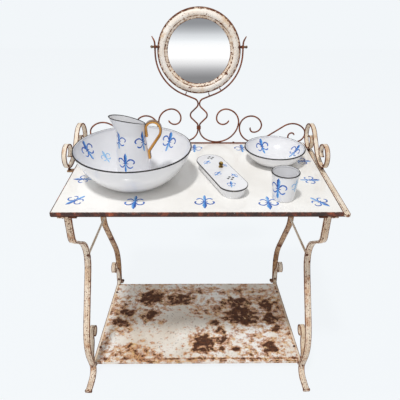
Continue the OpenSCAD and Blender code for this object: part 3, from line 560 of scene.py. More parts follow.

# The back legs take the darker copy of the cream paint, which is painted shade.
for end, sign, paint in (("front", -1, "cream"), ("back", 1, "back")):
    toe_end = ANKLE[0] + TOES[end]
    for side, word in HANDS:
        b = Build()
        states = walk((toe_end, FLOOR_MID, 180), [(0, TOES[end])] + leg_up)
        b.tube(side_frames(states, sign), moulding)
        b.tube(side_frames(walk(states[-1], FLANGES[end]), sign), plain_bar)
        pad = [section((0, sign * (toe_end - y), PAD_T / 2), X_AXIS, Z_AXIS, s, s, w) for y, s, w in PAD]
        b.tube(pad, flat_profile(PAD_W, PAD_T, PAD_R))
        leg = b.make(f"{word}_{end}_leg_bar", side_place(side))
        dress(leg, "stand", paint, "cream_paint", f"{word}_{end}_leg")

# ---- stretchers and cradles
CRADLE_Z, CRADLE_W, CRADLE_T, CORNER_R, CORNER_TURN, CURL_R = 25.0, 18, 4.0, 14.0, 82.0, 22.5
STRETCHER_R, STRETCHER_IN = 4.0, 5
turn = radians(CORNER_TURN)
ankle_bar = ANKLE_R + FLOOR_MID + CRADLE_T / 2
ankle_rise = ANKLE_R + FLOOR_MID - CRADLE_Z - CORNER_R * (1 - cos(turn))
to_corner = CORNER_R * sin(turn) + (ankle_bar + ankle_rise * cos(turn)) / sin(turn)
cradle_run = ANKLE[0] - to_corner
cradle_steps = [
    (0, cradle_run), (CORNER_R, CORNER_TURN), (0, 22), (70, 45), (0, 10), (60, -37),
    (CURL_R - CRADLE_T / 2, 235), (CURL_R * 0.62, 100),
]
reach = knee[0] - LEG_T / 2

for side, word in HANDS:
    half = walk((0, CRADLE_Z, 0), cradle_steps, 7)
    mirrored = [(-y, z, -h) for y, z, h in half]
    b = Build()
    b.tube(side_frames(backwards(mirrored) + half[1:]), flat_profile(CRADLE_W, CRADLE_T))
    strip = b.make(f"{word}_cradle_strip", side_place(side))
    dress(strip, "stand", "scroll", "worn_paint", f"{word}_shelf_cradle")
    b = Build()
    frames = side_frames(walk((-reach, knee[1], 0), [(0, 2 * reach)], 12))
    frames = [(p - X_AXIS * STRETCHER_IN, *rest) for p, *rest in frames]
    b.tube(frames, round_profile(STRETCHER_R, STRETCHER_R, 16))
    bar = b.make(f"{word}_stretcher_bar", side_place(side))
    dress(bar, "stand", "scroll", "worn_paint", f"{word}_stretcher")

# ---- right side rail
RAIL_W, RAIL_T, RAIL_R, RAIL_LOW = 19, 7, 9.5, 703.0
low_corner, high_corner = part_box("right_side_rail")
rail_front, rail_back = low_corner.y / MM, high_corner.y / MM
rail_mid = (low_corner.x + high_corner.x) / 2 / MM
rail = []
for k in range(9):
    a = pi / 2 * k / 8
    rail.append((rail_front + RAIL_R * (1 - cos(a)), max(0.12, sin(a))))
straight = rail_back - rail_front - RAIL_R
rail += [(rail_front + RAIL_R + straight * k / 30, 1.0) for k in range(1, 31)]
b = Build()
b.tube([section((rail_mid, y, RAIL_LOW + RAIL_T / 2), X_AXIS, -Z_AXIS, s, 1.0, 0.75 if s < 0.5 else 0.0)
        for y, s in rail], moulded_profile(RAIL_W, RAIL_T, RIDGE_W, RIDGE_H))
dress(b.make("right_rail_bar"), "stand", "scroll", "cream_paint", "right_side_rail")

# ---- side scrolls
SCROLL_W, SCROLL_T, SCROLL_R, SCROLL_H, SCROLL_RISE = 16, 4.0, 66.0, 91.0, 46
crown_z = path_end((0, 0, 0), [(110, SCROLL_RISE), (0, 55), (SCROLL_R, -SCROLL_RISE)])[1]
lift = (SCROLL_H - SCROLL_T - crown_z) / sin(radians(SCROLL_RISE))
back_steps = [
    (110, SCROLL_RISE), (0, 55 + lift), (SCROLL_R, -SCROLL_RISE), ((SCROLL_H - SCROLL_T) / 2, -180),
    (28, -110), (16, -130),
]
front_steps = [(37, -215), (24, -96), (12, -59)]
for side, word in HANDS:
    b = Build()
    front_part = walk((SCROLL_Y, SCROLL_T / 2, 180), front_steps, 5)
    back_part = walk((SCROLL_Y, SCROLL_T / 2, 0), back_steps, 5)
    b.tube(side_frames(backwards(front_part) + back_part[1:]), flat_profile(SCROLL_W, SCROLL_T, 0.8))
    bar = b.make(f"{word}_scroll_bar", scroll_place(side))
    dress(bar, "stand", "scroll", "cream_paint", f"{word}_side_scroll")

# ---- gallery
LARGE = [(0, 5.5), (46, 60), (80, 112), (50, 90), (33, 107), (23, 150)]
OVAL = [(0, 5.5), (18, -45), (0, 24.5), (16.5, 90), (0, 24.5), (18, -45)]
NECK, ARM_R = (20, -68), 148
swing = radians(-NECK[1])
neck_x = path_end((ROD_R, COLLAR_Z, 90), OVAL + [NECK])[0]
arm_l = (PIVOT_X - neck_x - ARM_R * (1 - cos(swing))) / sin(swing)
ARM = OVAL + [NECK, (0, arm_l), (ARM_R, -NECK[1]), (0, 31), (30, -28), (0, 12)]
MIDDLE = [(57, -99), (40.5, -152), (26, -113), (14, -103)]
OUTER = [(55, -84), (31, -76), (33, -107), (14, -105), (10, -80), (14, -16)]
OUTER_RUN = {"left": 108, "right": 102}
# Flattened eye round the pivot screw: (radius, across)
EYE = [(2.2, -2.9), (5.3, -2.9), (5.95, -2.2), (5.95, 2.2), (5.3, 2.9), (2.2, 2.9)]
EYE_SIDES = 28

rod_ring = round_profile(ROD_R, ROD_R, 14)
for side, word in HANDS:
    b = Build()
    down = walk((ROD_R, COLLAR_Z, -90), LARGE, 5)
    up = walk((ROD_R, COLLAR_Z, 90), ARM, 5)
    whole = rod_frames(backwards(down) + up[1:], 0.55)
    for k, s in enumerate((0.6, 0.85)):
        whole[k] = section(*whole[k][:3], s, s)
    b.tube(whole, rod_ring)
    turns = [2 * pi * k / EYE_SIDES for k in range(EYE_SIDES)]
    spokes = [Vector((0, cos(a), sin(a))) for a in turns]
    eye = [section((PIVOT_X, 0, PIVOT_Z), spoke, X_AXIS) for spoke in spokes]
    b.tube(eye, [(r, x, 0.0) for r, x in EYE], closed=True)
    dress(b.make(f"{word}_yoke", gallery_place(side)), "stand", "rod", "rusty_iron", f"{word}_yoke_rod")
    for name, start, steps in (
        ("middle", (206.5, ROD_Z + ROD_R, 180), MIDDLE),
        ("outer", (212, ROD_Z + ROD_R, 0), [(30, 34), (0, OUTER_RUN[word])] + OUTER),
    ):
        b = Build()
        b.tube(rod_frames(walk(start, steps, 5), 0.6), rod_ring)
        curl = b.make(f"{word}_{name}_curl", gallery_place(side))
        dress(curl, "stand", "rod", "rusty_iron", f"{word}_{name}_scroll")

# ---- enamelled sheet
TOP_BEND = 2.2


def bend(y, z, r, a0, a1, wear, n):
    """Points round the bend of a sheet's edge, from angle a0 to a1."""
    turns = [radians(a0 + (a1 - a0) * k / n) for k in range(n + 1)]
    return [(y + r * cos(a), z + r * sin(a), wear) for a in turns]


rim_low, under, flat_depth = TOP_H - RIM_H, TOP_H - TOP_T, TOP_BACK - TOP_FRONT - 16
outline = [
    (TOP_FRONT + 2, rim_low, 1.0), (TOP_FRONT, rim_low, 1.0), (TOP_FRONT, rim_low + 4, 0.95),
    (TOP_FRONT, TOP_H - TOP_BEND - 2, 0.9),
    *bend(TOP_FRONT + TOP_BEND, TOP_H - TOP_BEND, TOP_BEND, 180, 90, 0.75, 4),
    (TOP_FRONT + 4, TOP_H, 0.3), (TOP_FRONT + 9, TOP_H, 0.05),
    *((TOP_FRONT + 9 + flat_depth * k / 24, TOP_H, 0.0) for k in range(1, 24)),
    (TOP_BACK - 7, TOP_H, 0.1), (TOP_BACK - 4, TOP_H, 0.5),
    *bend(TOP_BACK - TOP_BEND, TOP_H - TOP_BEND, TOP_BEND, 90, 0, 0.9, 4),
    (TOP_BACK, rim_low, 1.0), (TOP_BACK - 2, rim_low, 1.0), (TOP_BACK - 2, under, 0.6),
    (TOP_FRONT + 2, under, 0.6),
]
columns = [
    (TOP_LEFT, 1.0), (TOP_LEFT + 1.6, 1.0), (TOP_LEFT + 3.0, 0.3),
    *((TOP_LEFT + 6 + (TOP_RIGHT - TOP_LEFT - 12) * k / 48, 0.0) for k in range(49)),
    (TOP_RIGHT - 3.4, 0.3), (TOP_RIGHT - 1.6, 0.95), (TOP_RIGHT, 1.0),
]
b = Build()
b.tube([section((x, 0, 0), Y_AXIS, Z_AXIS, wear=w) for x, w in columns], outline)
dress(b.make("enamelled_sheet", sharp=50), "stand", "top", "top_enamel", "enamel_top")

# ---- shelf
# Rust patches and paler stains: middle x, y and half sizes
PATCHES = [
    (-190, 140, 61, 52), (-73, 124, 70, 36), (173, 108, 66, 34), (188, 31, 80, 58), (297, 88, 30, 36),
    (302, 19, 28, 40), (-286, 51, 48, 20), (-300, -8, 36, 22), (27, -111, 54, 50), (101, -46, 25, 20),
    (280, -125, 30, 34), (322, -45, 32, 18), (92, -100, 20, 16), (96, -135, 16, 14), (72, -6, 22, 18),
    (-190, 30, 20, 22), (150, -140, 20, 12),
]
STAINS = [
    (-186, 29, 60, 46), (-243, -139, 90, 40), (-182, -175, 130, 20), (-346, -120, 22, 80),
    (-130, 140, 150, 60), (60, 180, 330, 24), (230, 60, 120, 120), (-310, 40, 70, 120),
    (250, -130, 110, 60), (60, -100, 90, 70), (340, 40, 30, 160), (80, 70, 120, 60),
]
SHELF_Z, SKIRT, SHEET_IN, SHELF_UNDER, SHELF_BEND = 39.0, 12.0, 2.0, 2.5, 2.0
SHELF_FRONT, SHELF_BACK, SHELF_HALF = -216.0, 205.0, SIDE_X - 4
SHELF_ROWS, SKIRT_STEPS = 84, 60
taper = tan(SIDE_ANGLE)
depth = SHELF_BACK - SHELF_FRONT


def beyond(x, y, spots, core):
    """How far a place lies outside the nearest spot's core, in half sizes."""
    return max(0.0, min(hypot((x - cx) / rx, (y - cy) / ry) for cx, cy, rx, ry in spots) - core)


def rust_at(x, y):
    """How rusted the shelf is at a place: over 0.6 is dark crust."""
    jx = x + 22 * noise.noise(Vector((x * 0.02, y * 0.03, 1)))
    jy = y + 16 * noise.noise(Vector((x * 0.02, y * 0.03, 5)))
    to_side = SIDE_X - abs(x - SHIFT.x) - taper * (y - SHIFT.y)
    return max(
        -0.75,
        1.0 - 1.5 * beyond(jx, jy, PATCHES, 0.62),
        0.42 - 0.75 * beyond(jx, jy, STAINS, 0.6),
        # Along the rims
        0.5 - 0.035 * to_side,
        0.75 - 0.07 * abs(y - SHIFT.y - SHELF_FRONT - 12),
        0.3 - 0.03 * (SHELF_BACK + SHIFT.y - y),
    )


skirt_low, under = SHELF_Z - SKIRT, SHELF_Z - SHELF_UNDER
outline = [
    (SHELF_FRONT + SHEET_IN, skirt_low, 1.0), (SHELF_FRONT, skirt_low, 1.0),
    (SHELF_FRONT, SHELF_Z - 8, 0.5), (SHELF_FRONT, SHELF_Z - 4, 0.3),
    *bend(SHELF_FRONT + SHELF_BEND, SHELF_Z - SHELF_BEND, SHELF_BEND, 180, 90, 0.9, 3),
    (SHELF_FRONT + 6, SHELF_Z, 0.5),
    *((SHELF_FRONT + 6 + (depth - 12) * k / SHELF_ROWS, SHELF_Z, 0.0) for k in range(1, SHELF_ROWS)),
    (SHELF_BACK - 6, SHELF_Z, 0.5),
    *bend(SHELF_BACK - SHELF_BEND, SHELF_Z - SHELF_BEND, SHELF_BEND, 90, 0, 0.9, 3),
    (SHELF_BACK, skirt_low, 1.0), (SHELF_BACK - SHEET_IN, skirt_low, 1.0),
    (SHELF_BACK - SHEET_IN, under, 0.6), (SHELF_FRONT + SHEET_IN, under, 0.6),
]
# Each section is a share of the half width, which narrows towards the back
shares = [-1.0, *(-0.995 + 1.99 * k / 140 for k in range(141)), 1.0]
b = Build()
b.tube([section((0, 0, 0), Y_AXIS, Z_AXIS, wear=0.8 if abs(s) > 0.99 else 0.0) for s in shares], outline)
blotch = []
for i, p in enumerate(b.v):
    s = shares[i // len(outline)]
    x = s * (SHELF_HALF - taper * p.y)
    dip = 0.0
    if p.z > SHELF_Z - 0.1 and abs(s) < 0.99:
        # The flat part sags and waves a little, but not at its edges
        dip = 0.5 * noise.noise(Vector((x * 0.008, p.y * 0.012, 2))) - 0.5
        dip *= min(1.0, 4 * (1 - abs(s)))
        dip *= min(1.0, (p.y - SHELF_FRONT) / 40) * min(1.0, (SHELF_BACK - p.y) / 40)
    blotch.append(max(rust_at(x + SHIFT.x, p.y + SHIFT.y), b.w[i] * 0.75 - 0.2))
    b.v[i] = Vector((x, p.y, p.z + dip)) + SHIFT
# Skirts of the two sides
SKIRT_LINE = [
    (0, skirt_low, 1.0), (0, SHELF_Z - 7, 0.4), (0, SHELF_Z - 1, 0.8), (2, SHELF_Z - 1, 0.8),
    (2, skirt_low, 1.0),
]
for side, _ in HANDS:
    ys = [SHELF_FRONT + depth * k / SKIRT_STEPS for k in range(SKIRT_STEPS + 1)]
    edge = [Vector((side * (SHELF_HALF - taper * y), y, 0)) + SHIFT for y in ys]
    base = len(b.v)
    b.tube([section(p, -side * X_AXIS, Z_AXIS) for p in edge], SKIRT_LINE)
    blotch += [w * 0.75 - 0.2 for w in b.w[base:]]
b.w = blotch
dress(b.make("shelf_sheet", attribute="blotch", sharp=50), "stand", "shelf", "worn_paint", "shelf")

# ---- mirror ring
RING = [
    (104.0, -7.4, 0.6), (138.5, -7.4, 0.6), (139.8, -6.4, 1.0), (140.0, -3.0, 1.0), (139.7, -0.6, 1.0),
    (138.6, 0.9, 0.95), (137.0, 1.4, 0.7), (135.3, 1.0, 0.75), (134.2, 0.8, 0.6), (133.2, 1.6, 0.1),
    (131.0, 4.0, 0.0), (128.0, 6.1, 0.0), (124.0, 7.4, 0.0), (120.5, 7.3, 0.05), (117.5, 6.0, 0.15),
    (115.5, 4.0, 0.65), (114.2, 3.0, 0.75), (112.5, 2.6, 0.45), (110.0, 0.8, 0.5), (107.0, -1.6, 0.6),
    (104.8, -3.2, 0.9), (104.0, -4.2, 1.0),
]
b = Build()
b.lathe(Vector((GALLERY_X, GALLERY_Y, RING_Z)), RING, 144, to_front=True)
dress(b.make("mirror_ring", sharp=60), "mirror", "ring", "ring_paint", "mirror_frame")

# ---- toilet set
WALL = 2.0


def wall_line(r1, h, foot_r, foot, half, bead):
    """Path of the wall of a basin or bowl, from the axis to the rim's bead."""
    dx = r1 - bead / 2 - foot_r
    dy = h - WALL / 2 - bead / 2
    a = 40.0
    for _ in range(6):
        t = radians(a - half)
        a = degrees(atan2(dy - foot * (1 - cos(t)), dx - foot * sin(t)))
    t = radians(a - half)
    chord = hypot(dx - foot * sin(t), dy - foot * (1 - cos(t)))
    return [(0, foot_r), (foot, a - half), (chord / (2 * sin(radians(half))), 2 * half)]


def vessel(states, bead):
    """Outer wall, rolled rim of the bead's diameter, and inner wall, as one closed line."""
    low_side, high_side = [], []
    for x, y, h in states[:-1]:
        a = radians(h)
        dx, dy = WALL / 2 * sin(a), WALL / 2 * cos(a)
        low_side.append((max(0.0, x + dx), y - dy, 0.0))
        high_side.append((max(0.0, x - dx), y + dy, 0.0))
    x, y, h = states[-1]
    rim = []
    for k in range(17):
        a = radians(h - 150 + 300 * k / 16)
        # Dark over the top and the outer side of the rim
        lean = cos(a - radians(56))
        dark = 1.0 if lean > 0.4 else 0.45 if lean > 0.2 else 0.1
        rim.append((x + bead / 2 * cos(a), y + bead / 2 * sin(a), dark))
    return low_side, rim, high_side[::-1]


def stands_at(node):
    """Middle of a node's base."""
    low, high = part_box(node)
    mid = (low + high) / 2 / MM
    return Vector((mid.x, mid.y, low.z / MM))


CUP_H, CUP_TOP_R, CUP_LOW_R, CUP_FOOT = 85, 40.3, 32.5, 3
cup_slope = degrees(atan2(CUP_H, CUP_TOP_R - CUP_LOW_R))
cup_a = radians(cup_slope)
cup_run = (CUP_H - 1 - CUP_FOOT * (1 - cos(cup_a)) - 2) / sin(cup_a)
# Name: node, path of the wall, the rim's bead, sides
SHAPES = {
    "basin": ("wash_basin", wall_line(178, 111, 85, 12, 24, 5.0), 5.0, 112),
    "bowl": ("small_bowl", wall_line(102, 53, 50, 10, 23.5, 5.0), 5.0, 88),
    "cup": ("cup", [(0, 28.5), (CUP_FOOT, cup_slope), (0, cup_run)], 4.0, 64),
}
place_of, inside, outside = {}, {}, {}
for name, (node, steps, bead, segments) in SHAPES.items():
    place_of[name] = stands_at(node)
    low_side, rim, high_side = vessel(walk((0, WALL / 2, 0), steps, 6, 6), bead)
    outside[name] = low_side
    inside[name] = high_side[::-1]
    b = Build()
    b.lathe(place_of[name], low_side + rim + high_side, segments)
    dress(b.make(f"enamel_{name}", sharp=60), name, "set", "set_enamel", node)

# Jug: a tapering body whose rim slants and reaches out into the spout
JUG_R, NECK_R, NECK_H, JUG_H, JUG_SIDES = 56.0, 42.0, 150.0, 190.0, 96
SPOUT_TURN, RIM_TILT, RIM_TURN, SPOUT_REACH = 188.0, 15.5, 32.0, 18.0
JUG_IN_BASIN = Vector((-2.5, 5.5, 2.0))
jug_at = place_of["basin"] + JUG_IN_BASIN


def jug_side(z):
    return JUG_R + (NECK_R - JUG_R) * z / NECK_H


def jug_rim(a):
    return JUG_H + RIM_TILT * cos(radians(a - RIM_TURN))


def jug_point(a, low_z, up, t):
    """a: degrees from the spout; low_z: height on the body; up: 0 at neck to 1 at rim; t: depth."""
    toward = (1 + cos(radians(a))) / 2
    r = jug_side(low_z) - t + up * up * 2 + toward ** 2 * SPOUT_REACH * up
    z = low_z + up * (jug_rim(a) - low_z)
    world = radians(a + SPOUT_TURN)
    return Vector((r * cos(world), r * sin(world), z))


# Rows of the body, from its base up the outside and down the inside: (low_z, up, t, wear)
rows = [(0.0, 0, 3.4, 0.0), (0.6, 0, 2.2, 0.0), (0.0, 0, 1.2, 0.0), (1.2, 0, 0.0, 0.6), (3.5, 0, 0, 0.0)]
rows += [(NECK_H * k / 12, 0, 0, 0.0) for k in range(1, 13)]
rows += [(NECK_H, k / 10, 0, 0.0) for k in range(1, 10)]
rows += [(NECK_H, up, t, w) for up, t, w in (
    (0.955, 0, 0.25), (0.965, -0.3, 0.9), (0.985, -0.5, 1.0), (1.0, 0.0, 1.0), (1.006, 1.0, 1.0),
    (1.0, 2.0, 1.0), (0.985, 2.5, 1.0), (0.965, 2.3, 0.9), (0.955, 2.0, 0.25),
)]
rows += [(NECK_H, k / 10, WALL, 0.0) for k in range(9, 0, -1)]
rows += [(max(WALL, NECK_H * k / 12), 0, WALL, 0.0) for k in range(12, -1, -1)]
b = Build()
for low_z, up, t, w in rows:
    b.v += [jug_at + jug_point(360 * k / JUG_SIDES, low_z, up, t) for k in range(JUG_SIDES)]
    b.w += [w] * JUG_SIDES
b.skin(0, len(rows), JUG_SIDES)
dress(b.make("enamel_jug", sharp=60), "jug", "set", "set_enamel", "jug_body")

# Strap handle with a shallow hollow along both faces
STRAP_Z, HANDLE_T, HOLLOW, HANDLE_TURN = 138.0, 8.0, 0.8, -124.0
wall_tilt = degrees(atan((JUG_R - NECK_R) / NECK_H))
tilt = radians(wall_tilt)
stand_off = (HANDLE_T / 2 - HOLLOW) / cos(tilt)
start = (jug_side(STRAP_Z) + stand_off, STRAP_Z, 90 + wall_tilt)
bow = [(0, 22), (22, -165 - wall_tilt), (35, HANDLE_TURN + 75)]
foot = (12, -HANDLE_TURN - 90 + wall_tilt)
bow_end = path_end(start, bow)
foot_shift = path_end((0, 0, HANDLE_TURN), [foot])
meet = (bow_end[0] + foot_shift[0], bow_end[1] + foot_shift[1])
down_a = radians(HANDLE_TURN)
run = (meet[0] - jug_side(meet[1]) - stand_off) / (-cos(down_a) - tan(tilt) * sin(down_a))
STRAP = [
    (0, 3.2, 0.7), (4.5, 3.4, 0.9), (6.2, 3.9, 1.0), (6.9, 3.0, 1.0), (7.0, 1.7, 0.5), (7.0, 0, 0.05),
    (7.0, -2.0, 0.0), (6.7, -3.4, 0.55), (5.6, -4.0, 0.7), (3.0, -3.8, 0.1), (0, -3.6, 0.0),
]
STRAP += [(-u, v, w) for u, v, w in reversed(STRAP[1:-1])]
frames = []
for x, z, h in walk(start, bow + [(0, run), foot, (0, 20)], 4, 6):
    a = radians(h)
    frames.append(section((x, 0, z), Y_AXIS, Vector((-sin(a), 0, cos(a)))))
b = Build()
b.tube(frames, STRAP)
dress(b.make("jug_strap", lambda p: p + jug_at, sharp=50), "jug", "amber", "handle_enamel", "jug_handle")

# ---- painted ornaments
# Strokes of one fleur-de-lis: (across, up, half width), in units of its height
CENTRE_TOP = [(0, .5, .006), (0, .44, .036), (0, .34, .078), (0, .22, .082), (0, .1, .05), (0, 0, .034)]
CENTRE_LOW = [(0, .01, .026), (0, -.12, .036), (0, -.27, .056), (0, -.39, .042), (0, -.45, .008)]
CURL_UP = [
    (.02, 0, .014), (.07, .1, .024), (.14, .18, .03), (.22, .2, .03), (.3, .165, .03),
    (.345, .09, .03), (.33, .02, .028), (.29, -.005, .01),
]
CURL_LOW = [
    (.02, -.03, .014), (.06, -.12, .022), (.12, -.19, .026), (.19, -.21, .028), (.26, -.175, .026),
    (.295, -.12, .01),
]
BAND = [(-.12, 0, .012), (0, -.005, .026), (.12, 0, .012)]
# Each stroke, the tones of its two sides, and whether it is drawn on both sides
STROKES = [
    (CENTRE_TOP, 0.0, 0.8, (1,)), (CENTRE_LOW, 0.3, 1.0, (1,)), (CURL_UP, 0.35, 0.1, (1, -1)),
    (CURL_LOW, 0.45, 0.15, (1, -1)), (BAND, 0.1, 0.3, (1,)),
]
# Round a stroke: side, and height over the surface
PAINT_LOOP = ((-1, 0.16), (0, 0.24), (1, 0.16), (1, -0.3), (0, -0.3), (-1, -0.3))


def smooth_line(points, n=5):
    """Catmull-Rom points through a stroke's points."""
    pts = [Vector(p) for p in points]
    out = []
    for i in range(len(pts) - 1):
        p0, p1, p2, p3 = pts[max(i - 1, 0)], pts[i], pts[i + 1], pts[min(i + 2, len(pts) - 1)]
        for k in range(n):
            t = k / n
            out.append(0.5 * (2 * p1 + (p2 - p0) * t + (2 * p0 - 5 * p1 + 4 * p2 - p3) * t * t
                              + (3 * p1 - p0 - 3 * p2 + p3) * t * t * t))
    return out + [pts[-1]]


def fleur(build, surface, size, wide=1.0, pale=0.0):
    """Adds one ornament; surface(u, v) gives a point and normal, millimetres from its middle."""
    for points, tone_a, tone_b, hands in STROKES:
        line = smooth_line(points)
        n = len(line)
        for hand in hands:
            base = len(build.v)
            for i, q in enumerate(line):
                d = (line[min(i + 1, n - 1)] - line[max(i - 1, 0)]).to_2d()
                d.normalize()
                wob = 1 + 0.3 * noise.noise(Vector((q.x * 9 + size, q.y * 9, base * 0.37)))
                for e, h in PAINT_LOOP:
                    u = hand * (q.x * wide - d.y * e * q.z * wob) * size
                    v = (q.y + d.x * e * q.z * wob) * size
                    point, normal = surface(u, v)
                    build.v.append(point + normal * h)
                    build.w.append(min(1.0, (tone_a * (1 - e) + tone_b * (1 + e)) / 2 + pale))
            build.skin(base, n, len(PAINT_LOOP))


def flat_surface(x, y, z, turn):
    def surface(u, v):
        du, dv = turned(u, v, radians(turn))
        return Vector((x + du, y + dv, z)), Z_AXIS

    return surface


def round_surface(at, line, azimuth, z_mid, outward):
    """On a lathed wall: u runs round it, v along its profile towards the rim."""
    lengths = [0.0]
    for (r0, z0, _), (r1, z1, _) in zip(line, line[1:]):
        lengths.append(lengths[-1] + hypot(r1 - r0, z1 - z0))
    middle = next(l + (z_mid - p[1]) / max(1e-6, q[1] - p[1]) * (m - l)
                  for p, q, l, m in zip(line, line[1:], lengths, lengths[1:]) if q[1] >= z_mid)

    def surface(u, v):
        s = min(max(middle + v, 0.0), lengths[-1] - 0.01)
        i = next(k for k in range(len(lengths) - 1) if lengths[k + 1] >= s)
        t = (s - lengths[i]) / max(1e-6, lengths[i + 1] - lengths[i])
        (r0, z0, _), (r1, z1, _) = line[i], line[i + 1]
        r, z = r0 + (r1 - r0) * t, z0 + (z1 - z0) * t
        a = radians(azimuth) + u / max(r, 10.0) * (1 if outward else -1)
        d = Vector((r1 - r0, z1 - z0)).normalized()
        nr, nz = (d.y, -d.x) if outward else (-d.y, d.x)
        c, s = cos(a), sin(a)
        return at + Vector((r * c, r * s, z)), Vector((nr * c, nr * s, nz))

    return surface


def jug_surface(azimuth, z_mid):
    """On the jug: u runs round it, v straight up."""

    def point(u, v):
        z = z_mid + v
        a = azimuth - SPOUT_TURN + degrees(u / jug_side(min(z, NECK_H)))
        up = max(0.0, (z - NECK_H) / (jug_rim(a) - NECK_H))
        return jug_at + jug_point(a, min(z, NECK_H), up, 0)

    def surface(u, v):
        p = point(u, v)
        return p, (point(u + 1, v) - p).cross(point(u, v + 1) - p).normalized()

    return surface


# On the sheet: x, y, direction, height of the ornament
ON_TOP = [
    (-346, -180.5, 138, 70), (352, -191.5, -138, 70), (-176, -192, 180, 78), (23, -189, 180, 78),
    (205, -195, 180, 78), (-353, -50.5, 90, 66), (356, -56.5, -90, 66), (362, 83.5, -90, 66),
    (-6, 191.5, 0, 76), (167, 192.5, 0, 76), (-356, 84, 90, 66), (-340, 188, 45, 66),
    (346, 188, -45, 66), (-178, 192, 0, 76),
]
# On the basin, bowl and cup: azimuth, height of its middle, size, how much paler
ON_WALLS = {
    "basin": [
        (160.8, 74, 76, 0), (140.8, 36, 48, 0.6), (50.5, 74, 76, 0), (105, 74, 74, 0), (270, 74, 76, 0),
        (215, 74, 76, 0), (325, 74, 76, 0),
    ],
    "bowl": [(112, 22, 66, 0), (19.6, 24, 64, 0), (290, 22, 64, 0), (205, 22, 64, 0)],
    "cup": [(-129.4, 44, 70, 0), (-45, 52, 44, 0.6), (60, 44, 68, 0)],
}
# On the jug: azimuth, height of its middle, size
ON_JUG = [(-138.1, 136, 58), (-31.9, 130, 66), (-109.1, 70, 64), (90, 100, 60), (160, 90, 58)]
# On the lid: along it, across it, direction, size
ON_LID = [
    (-74, -17, -33, 36), (12, -16.5, -33, 36), (90, -7, 0, 42), (-34, 28, 38, 26), (42, 27, 38, 32),
]


def dress_fleurs(build, name, body, slot="set_enamel"):
    dress(build.make(name, sharp=60, attribute="tone"), body, "fleur", slot)


b = Build()
for x, y, direction, size in ON_TOP:
    fleur(b, flat_surface(x, y, TOP_H, direction), size)
dress_fleurs(b, "sheet_fleurs", "stand", "top_enamel")

for body, spots in ON_WALLS.items():
    outward = body == "cup"
    line = outside[body] if outward else inside[body]
    b = Build()
    for azimuth, z_mid, size, pale in spots:
        fleur(b, round_surface(place_of[body], line, azimuth, z_mid, outward), size, 1.0, pale)
    dress_fleurs(b, f"{body}_fleurs", body)

b = Build()
for azimuth, z_mid, size in ON_JUG:
    fleur(b, jug_surface(azimuth, z_mid), size, 1.2)
dress_fleurs(b, "jug_fleurs", "jug")

# ---- lid of the brush box
LID_X, LID_Y, LID_TOP, LID_R, LID_HALF = 76.0, -61.03, 748.0, 43.0, 87.0
BOX_ANGLE = radians(-69.2)
EDGE_DROP, EDGE_W, EDGE_H = 2.2, 1.1, 2.4
HOLE_GROUPS, HOLE_Y, HOLE_PITCH = (-103, 53), 8, 8
HOLE = [(0, -3.2, 1.0), (1.8, -3.2, 1.0), (3.8, 0.1, 1.0), (3.6, 0.35, 1.0), (0, 0.3, 1.0)]


def on_lid(x, y, z=LID_TOP):
    """x along the lid, y across it."""
    dx, dy = turned(x, y, BOX_ANGLE)
    return Vector((LID_X + dx, LID_Y + dy, z))


b = Build()
for x, y, direction, size in ON_LID:
    fleur(b, flat_surface(*on_lid(x, y), direction), size, 0.8, 0.1)
dress_fleurs(b, "lid_fleurs", "lid")

# Dark band round the lid's side: partly its dark enamel edge, partly painted shade between the lid and
# the box
loop = []
for k in range(48):
    a = 2 * pi * (k + 0.5) / 48
    x = copysign(LID_HALF, cos(a)) + LID_R * cos(a)
    loop.append(Vector((x, LID_R * sin(a), 0)))
path = []
for p, q in zip(loop, loop[1:] + loop[:1]):
    n = max(1, int((q - p).length / 12))
    path += [p + (q - p) * (k / n) for k in range(n)]
frames = []
for i, p in enumerate(path):
    d = (path[(i + 1) % len(path)] - path[i - 1]).normalized()
    out = Vector((*turned(d.y, -d.x, BOX_ANGLE), 0))
    frames.append(section(on_lid(p.x, p.y, LID_TOP - EDGE_DROP), out, Z_AXIS))
b = Build()
b.tube(frames, round_profile(EDGE_W, EDGE_H, 12, 1.0), closed=True)
dress(b.make("lid_edge"), "lid", "dark", "set_enamel")

# Near-black discs over its drain holes, wider than the bores: painted shade of the holes' unlit insides
b = Build()
for x in HOLE_GROUPS:
    for dx, dy in ((-1, 0), (1, 0), (0, -1), (0, 1)):
        b.lathe(on_lid(x + HOLE_PITCH * dx, HOLE_Y + HOLE_PITCH * dy), HOLE, 16)
dress(b.make("lid_hole_painted_shade"), "lid", "hole", "set_enamel")

# ---- solids that keep their shape
FINISH = {
    "fixing": (
        "front_rail", "back_rail", "top_tabs", "leg_bolts", "corner_rivets", "stretcher_rivets",
        "cradle_rivets", "shelf_screws", "side_scroll_rivets", "gallery_screws", "mirror_pivot_lugs",
        "pivot_washers",
    ),
    # The left side rail takes the darker copy of the cream paint, which is painted shade.
    "back": ("left_side_rail",),
    "rod": ("gallery_base_bar", "gallery_collar", "yoke_pegs"),
    # The mirror's glass takes the painted reflection.
    "glass": ("mirror_glass",),
    "backing": ("mirror_back",),
    "screw": ("left_thumbscrew", "right_thumbscrew"),
    "set": ("brush_box", "brush_box_lid"),
    "brass": ("lid_knob",),
}
BEVEL_WIDTH = {
    "front_rail": 0.6, "back_rail": 0.6, "left_side_rail": 0.8, "top_tabs": 0.6, "gallery_base_bar": 0.7,
    "gallery_collar": 0.9, "yoke_pegs": 0.4, "brush_box": 0.4,
}
for key, names in FINISH.items():
    for name in names:
        nodes[name].data.materials.clear()
        nodes[name].data.materials.append(mats[key])
for name, width in BEVEL_WIDTH.items():
    weld = nodes[name].modifiers.new("weld", "WELD")
    weld.merge_threshold = 1e-5
    bevel = nodes[name].modifiers.new("bevel", "BEVEL")
    bevel.width = width * MM
    bevel.segments = 2
    bevel.limit_method = "ANGLE"
    bevel.angle_limit = radians(40)


